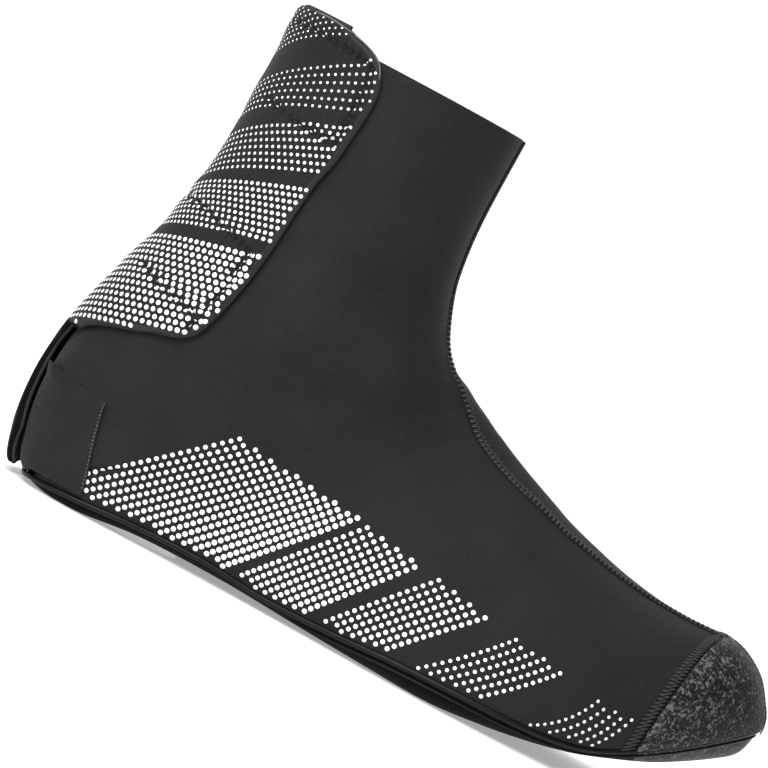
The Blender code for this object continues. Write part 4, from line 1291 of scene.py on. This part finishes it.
def make_closure_panel():
    heights, wing, t, turns, distance = panel_grid()
    off = panel_off(distance)[None]
    flat = surface(t, turns, off)
    away = edge_distance(flat, wing)
    rim = np.clip(1 - away / EDGE_WIDTH, 0, 1)
    off = off - EDGE_DROP * rim**2 + seam_relief(flat) * ease(away / EDGE_WIDTH)
    points = surface(t, turns, off)
    inner = surface(t, turns, panel_off(distance)[None] - PANEL_WALL)
    place = cloth_place(points)
    faces = grid_faces(*t.shape).reshape(t.shape[0] - 1, t.shape[1] - 1, 4)
    keep = np.ones(faces.shape[:2], bool)
    keep[~wing[1:], :WING_COLUMNS] = False
    edge = away[:-1, :-1] < FOAM_EDGE
    # Below the flap's foot the panel's faces take the near-black rubber colour, darker than the neoprene they
    # are cut from: painted shade on the strip down the heel
    strip = points[:-1, :-1, 2] < level(PANEL_EDGE[-1].height) + FOAM_EDGE
    kinds = np.where(strip, 3, np.where(edge, 2, 0))
    faces, kinds = two_sided(faces[keep], kinds[keep], points.shape[0] * points.shape[1], 1, 2)
    slots = [jersey, lining, foam, rubber]
    cloth_piece(
        "closure_panel_shell", np.stack([points, inner]), faces, slots, "printed_neoprene",
        ["closure_panel"], np.stack([place, place]), kinds
    )
    normals = -unit(np.cross(np.gradient(points, axis=0), np.gradient(points, axis=1)))
    around = place[..., 0] - place[:, [WING_COLUMNS], 0]
    if np.median((normals * outward(t, turns)).sum(-1)) < 0:
        normals = -normals
    return Panel(heights, points, normals, away, around)


panel = make_closure_panel()
PATCH_STITCH = 0.0024
PATCH_THREAD = 0.00026
PATCH_THREAD_PROUD = 0.00006
# The radius of the painted highlight along the flap's top corner
CORNER_HIGHLIGHT_RADIUS = 0.00022

# The flap's rounded top corner in the picture
PANEL_CORNER = [
    (0.0290, 0.1994),
    (0.0350, 0.1997),
    (0.0450, 0.1985),
    (0.0535, 0.1962),
    (0.0583, 0.1928),
    (0.0606, 0.1885),
]


def outer_tree(points, faces):
    return BVHTree.FromPolygons(
        [tuple(p) for p in points.reshape(-1, 3)], [tuple(map(int, f)) for f in faces]
    )


def look(tree, place, side=-1):
    """The point and normal of a surface seen at a place in the picture, or on side 1 its mirror image."""
    flip = np.array([1.0, -side, 1.0])
    aside = place[0] - PICTURE_AIM[0]
    ahead = VIEW_AHEAD * CAMERA_DISTANCE + VIEW_UP * (place[1] - PICTURE_AIM[1]) + np.array([aside, 0, 0])
    point, normal, _, _ = tree.ray_cast(Vector(CAMERA_EYE * flip), Vector(unit(ahead * flip)))
    if point is None:
        return None
    normal = np.array(normal)
    return np.array(point), normal * (1 if normal @ (CAMERA_EYE * flip) > 0 else -1)


def make_patch_stitches():
    runs = []
    for seam in PATCH_SEAMS:
        line = np.array(seam)
        share = even_line(line, PATCH_STITCH / 4)
        spots = np.stack([np.interp(share, np.linspace(0, 1, len(line)), line[:, i]) for i in (0, 1)], -1)
        found = [look(panel_tree, spot) for spot in spots]
        for i in range(0, len(found) - 3, 4):
            three = [f for f in found[i : i + 3] if f is not None]
            if len(three) == 3:
                line, up = (np.array(rows) for rows in zip(*three))
                runs.append((line + up * PATCH_THREAD_PROUD, up))
    plain_piece("patch_stitches", *stitches(runs, PATCH_THREAD, sides=5), [thread], "printed_neoprene")


def make_corner_highlight():
    """A painted highlight along the flap's rounded top corner: a thin tube in the pale thread's colour, where
    light catches the edge.
    """
    along = np.linspace(PANEL_CORNER[0][0], PANEL_CORNER[-1][0], 60)
    found = [look(panel_tree, spot) for spot in zip(along, smooth(PANEL_CORNER, along))]
    line, up = (np.array(rows) for rows in zip(*filter(None, found)))
    corner = stitches([(line, up)], CORNER_HIGHLIGHT_RADIUS)
    # A painted highlight: a pale tube along the corner's edge, in the grey thread's colour
    plain_piece("panel_corner_line", *corner, [pale_thread], "printed_neoprene")


panel_tree = outer_tree(panel.points, grid_faces(*panel.points.shape[:2]))
make_patch_stitches()
make_corner_highlight()

# The hook patches
# Two pieces of moulded hook tape sewn flat on the outer side of the shaft. The closed flap hides them.

HOOK_PITCH = 0.0014


def hook_tape():
    """Woven nylon tape with rows of fine moulded hooks: dead black, because the hooks trap the light."""
    material, shader = new_material("woven_nylon_hook_tape")
    body = add(material, "ShaderNodeTexCoord").outputs["Object"]
    # The real hooks are 0.7 mm apart, and are drawn at twice that
    hooks = add(
        material, "ShaderNodeTexVoronoi", {"Vector": body, "Scale": 1 / HOOK_PITCH, "Randomness": 0.2}
    )
    bump = add(
        material, "ShaderNodeBump",
        {"Height": hooks.outputs["Distance"], "Strength": 0.8, "Distance": 0.0004}
    )
    wire(material, bump.outputs["Normal"], shader, "Normal")
    shader.inputs["Base Color"].default_value = hex_colour("0b0b0c")
    shader.inputs["Roughness"].default_value = 0.8
    return material


def dress_hook_patches():
    tape = hook_tape()
    for name in ("hook_patch_upper", "hook_patch_lower"):
        patch = bpy.data.objects[name]
        patch.data.materials.clear()
        patch.data.materials.append(tape)


dress_hook_patches()

# The prints
# Thick pale silicone dots, screen printed on the jersey: five slanting bands along the side and five round
# the closure panel. They lie a little proud of the knit.

DOT_SIDES = 12
DOT_RISE = 0.00007
DOT_CROWN = 1.6
DOT_TOP = 0.46


def silicone_print():
    """Screen printed silicone ink: pale silver grey, even and slightly glossy, with a soft rounded edge."""
    material, shader = new_material("screen_printed_silicone_ink")
    body = add(material, "ShaderNodeTexCoord").outputs["Object"]
    mottle = add(material, "ShaderNodeTexNoise", {"Vector": body, "Scale": 1500.0, "Detail": 3.0})
    colour = add(material, "ShaderNodeMix", {"Factor": mottle.outputs["Fac"]}, data_type="RGBA")
    colour.inputs["A"].default_value = hex_colour("d2d2d4")
    colour.inputs["B"].default_value = hex_colour("f4f4f5")
    wire(material, colour.outputs["Result"], shader, "Base Color")
    shader.inputs["Roughness"].default_value = 0.4
    return material


ink = silicone_print()


def dots_mesh(name, dots, slot):
    """One mesh of low round domes. Each dot is a point, the normal there and its diameter."""
    angles = np.arange(DOT_SIDES) * 2 * pi / DOT_SIDES
    points, faces = [], []
    for point, normal, wide in dots:
        side = unit(np.cross(normal, [0.3, 0.2, 1.0]))
        up = np.cross(normal, side)
        ring = np.cos(angles)[:, None] * side + np.sin(angles)[:, None] * up
        start = len(points)
        points.extend(point + ring * wide / 2 - normal * DOT_RISE)
        points.extend(point + ring * wide * DOT_TOP + normal * DOT_RISE)
        points.append(point + normal * DOT_RISE * DOT_CROWN)
        for i in range(DOT_SIDES):
            j = (i + 1) % DOT_SIDES
            faces.append((start + i, start + j, start + DOT_SIDES + j, start + DOT_SIDES + i))
            faces.append((start + DOT_SIDES + i, start + DOT_SIDES + j, start + 2 * DOT_SIDES))
    return plain_piece(name, np.array(points), faces, [ink], slot)


# The bands along the side, as lattices in the picture in millimetres: the dot at the rear foot, the steps
# to the next dot up a line and to the next line along, and the bends, by which those steps change. The
# lines run from the piping up to a straight top edge.
SideBand = namedtuple(
    "SideBand", "foot up along bend_up bend_across bend_along lines top slope rear_dot front_dot"
)
SIDE_BANDS = [
    SideBand((33.2, 13.5), (2.02, 1.67), (3.12, -1.18), (0.009, 0.012), (-0.043, -0.015), (0.001, -0.005), 16,
             (76.8, 51.8), -0.094, 1.75, 2.15),
    SideBand((99.5, 7.5), (1.41, 1.61), (2.45, -1.64), (0.017, 0.020), (-0.012, -0.003), (-0.001, 0.004), 8,
             (132.6, 45.9), -0.140, 1.80, 2.05),
    SideBand((133.4, 6.7), (1.76, 2.02), (2.39, -1.25), (0.009, 0.007), (-0.001, -0.029), (0.014, -0.001), 7,
             (163.9, 41.7), -0.200, 1.72, 1.90),
    SideBand((172.2, 9.6), (2.33, 1.92), (2.56, -1.50), (-0.025, 0.003), (0.022, -0.021), (0.008, 0.002), 6,
             (198.3, 35.4), -0.140, 1.45, 1.58),
    SideBand((219.5, 11.9), (2.23, 1.35), (2.94, -1.76), (-0.062, 0.068), (0.031, -0.002), (-0.084, 0.092), 5,
             (234.6, 30.2), -0.010, 1.25, 1.35),
]
SIDE_MARGIN = 0.0017
MOST_DOTS = 30


def make_side_print():
    faces = grid_faces(*upper_points.shape[:2])
    tree = outer_tree(upper_points, faces)
    for side, name in ((-1, "side_print_outer"), (1, "side_print_inner")):
        dots = []
        for band in SIDE_BANDS:
            foot, up, along = np.array(band.foot), np.array(band.up), np.array(band.along)
            for j in range(band.lines):
                for i in range(-1, MOST_DOTS):
                    bend = i * i * np.array(band.bend_up) + i * j * np.array(band.bend_across)
                    place = foot + i * up + j * along + bend + j * j * np.array(band.bend_along)
                    if place[1] > band.top[1] + band.slope * (place[0] - band.top[0]):
                        continue
                    found = look(tree, place / 1000, side)
                    if found is None or found[0][2] < welt_height(found[0][0]) + SIDE_MARGIN:
                        continue
                    wide = band.rear_dot + (band.front_dot - band.rear_dot) * j / (band.lines - 1)
                    dots.append((*found, wide / 1000))
        dots_mesh(name, dots, "neoprene_jersey")


# The bands round the closure panel, in millimetres: rows of dots between a lower and an upper line, whose
# heights, pitches and dots are those at the back and at the front edge. Each row starts lean further round
# than the last, and no row reaches further forward than front.
PanelBand = namedtuple("PanelBand", "rows lower upper pitch dot lean front")
PANEL_BANDS = [
    PanelBand(18, (49.9, 63.5), (95.9, 108.8), (2.75, 2.50), (1.65, 2.00), 0.05, 99),
    PanelBand(9, (102.4, 116.2), (119.6, 137.8), (2.70, 2.05), (1.25, 1.55), 0.45, 99),
    PanelBand(7, (124.8, 145.4), (141.0, 162.3), (2.70, 2.15), (1.05, 1.35), 0.70, 99),
    PanelBand(6, (150.3, 169.8), (162.0, 186.6), (2.60, 2.45), (0.85, 1.10), 1.45, 99),
    PanelBand(8, (176.0, 199.0), (193.0, 217.0), (2.50, 2.10), (0.75, 0.90), 1.45, 36),
]

# Distances from the back line round the panel, positive on the outer side: where the heights and pitches
# are those of the front edge, and where the rows start and stop
PRINT_WIDTH = 0.050
PRINT_OUTER = 0.056
PRINT_INNER = -0.075
ROW_STEP = 0.002
PRINT_FOOT = 0.0575
PRINT_MARGIN = 0.0012


def make_panel_print():
    dots = []
    for band in PANEL_BANDS:
        for k in range(band.rows):
            share = k / (band.rows - 1)
            back, front = (band.lower[n] + (band.upper[n] - band.lower[n]) * share for n in (0, 1))
            forward = PRINT_OUTER + (k * band.lean) / 1000 % ROW_STEP
            while forward > PRINT_INNER:
                reach = min(max(forward / PRINT_WIDTH, 0), 1)
                pitch, wide = (pair[0] + (pair[1] - pair[0]) * reach for pair in (band.pitch, band.dot))
                height = (back + (front - back) * forward / PRINT_WIDTH) / 1000
                forward -= pitch / 1000
                row = np.interp(-height, -panel.heights, np.arange(len(panel.heights)))
                columns = np.arange(panel.around.shape[1])
                lengths = -sample(panel.around, np.full(len(columns), row), columns)
                front_end = min(lengths[0], band.front / 1000)
                if height < PRINT_FOOT or height > panel.heights[0] or forward > front_end:
                    continue
                column = np.interp(-forward, -lengths, np.arange(len(lengths)))
                row, column = np.array([row]), np.array([column])
                if forward < lengths[-1] or sample(panel.away, row, column)[0] < PRINT_MARGIN:
                    continue
                point = sample(panel.points, row, column)[0]
                normal = unit(sample(panel.normals, row, column)[0])
                dots.append((point, normal, wide / 1000))
    dots_mesh("panel_print", dots, "printed_neoprene")


make_side_print()
make_panel_print()

# The studio
# A pale floor that runs up into a pale wall, a large soft light from the camera's side and one from above.


def paper():
    """Matt white studio paper."""
    material, shader = new_material("matt_studio_paper")
    shader.inputs["Base Color"].default_value = hex_colour("f4f4f4")
    shader.inputs["Roughness"].default_value = 0.9
    shader.inputs["Emission Color"].default_value = hex_colour("ffffff")
    shader.inputs["Emission Strength"].default_value = 0.35
    return material


def make_studio():
    mesh = bpy.data.meshes.new("studio_floor")
    wide, near, far, tall, bend, drop = 6.0, -4.0, 3.0, 4.0, 1.0, 0.0001
    profile = [(near, 0.0)]
    profile += [(far - bend + bend * sin(a), bend - bend * cos(a)) for a in np.linspace(0, pi / 2, 16)]
    profile.append((far, tall))
    points = [(x, y, z - drop) for y, z in profile for x in (-wide, wide)]
    faces = [(2 * i, 2 * i + 1, 2 * i + 3, 2 * i + 2) for i in range(len(profile) - 1)]
    mesh.from_pydata(points, [], faces)
    mesh.materials.append(paper())
    mesh.shade_smooth()
    floor = bpy.data.objects.new("studio_floor", mesh)
    bpy.context.scene.collection.objects.link(floor)
    world = bpy.data.worlds.new("studio_world")
    bpy.context.scene.world = world
    world.use_nodes = True
    world.node_tree.nodes["Background"].inputs["Color"].default_value = (1.0, 1.0, 1.0, 1.0)
    world.node_tree.nodes["Background"].inputs["Strength"].default_value = 0.30
    for name, size, power, place in (
        ("front_softbox", 1.0, 44.0, (-0.60, -1.6, 1.0)),
        ("top_softbox", 1.4, 22.0, (-0.3, -0.3, 1.8)),
    ):
        light = bpy.data.lights.new(name, "AREA")
        light.size = size
        light.energy = power
        lamp = bpy.data.objects.new(name, light)
        bpy.context.scene.collection.objects.link(lamp)
        lamp.location = place
        aim = Vector((0.0, 0.0, 0.09)) - lamp.location
        lamp.rotation_euler = aim.to_track_quat("-Z", "Y").to_euler()


make_studio()

# The camera
# It looks at the outer side from a little above the floor, rolled so that the toe points down to the right.

CAMERA_ROLL = radians(28.2)
# How much the frame shows across, at the aim's distance
FRAME_WIDTH = 0.2747


def make_camera():
    data = bpy.data.cameras.new("photo_camera")
    data.sensor_width = 36.0
    data.lens = data.sensor_width * CAMERA_DISTANCE / FRAME_WIDTH
    camera = bpy.data.objects.new("photo_camera", data)
    bpy.context.scene.collection.objects.link(camera)
    back = -Vector(VIEW_AHEAD)
    right, up = Vector((1, 0, 0)), Vector(VIEW_UP)
    rolled_right = right * cos(CAMERA_ROLL) + up * sin(CAMERA_ROLL)
    rolled_up = up * cos(CAMERA_ROLL) - right * sin(CAMERA_ROLL)
    turn = Matrix((rolled_right, rolled_up, back)).transposed()
    camera.matrix_world = Matrix.Translation(Vector(CAMERA_EYE + BASE)) @ turn.to_4x4()
    bpy.context.scene.camera = camera


make_camera()
bpy.context.scene.view_settings.view_transform = "Standard"
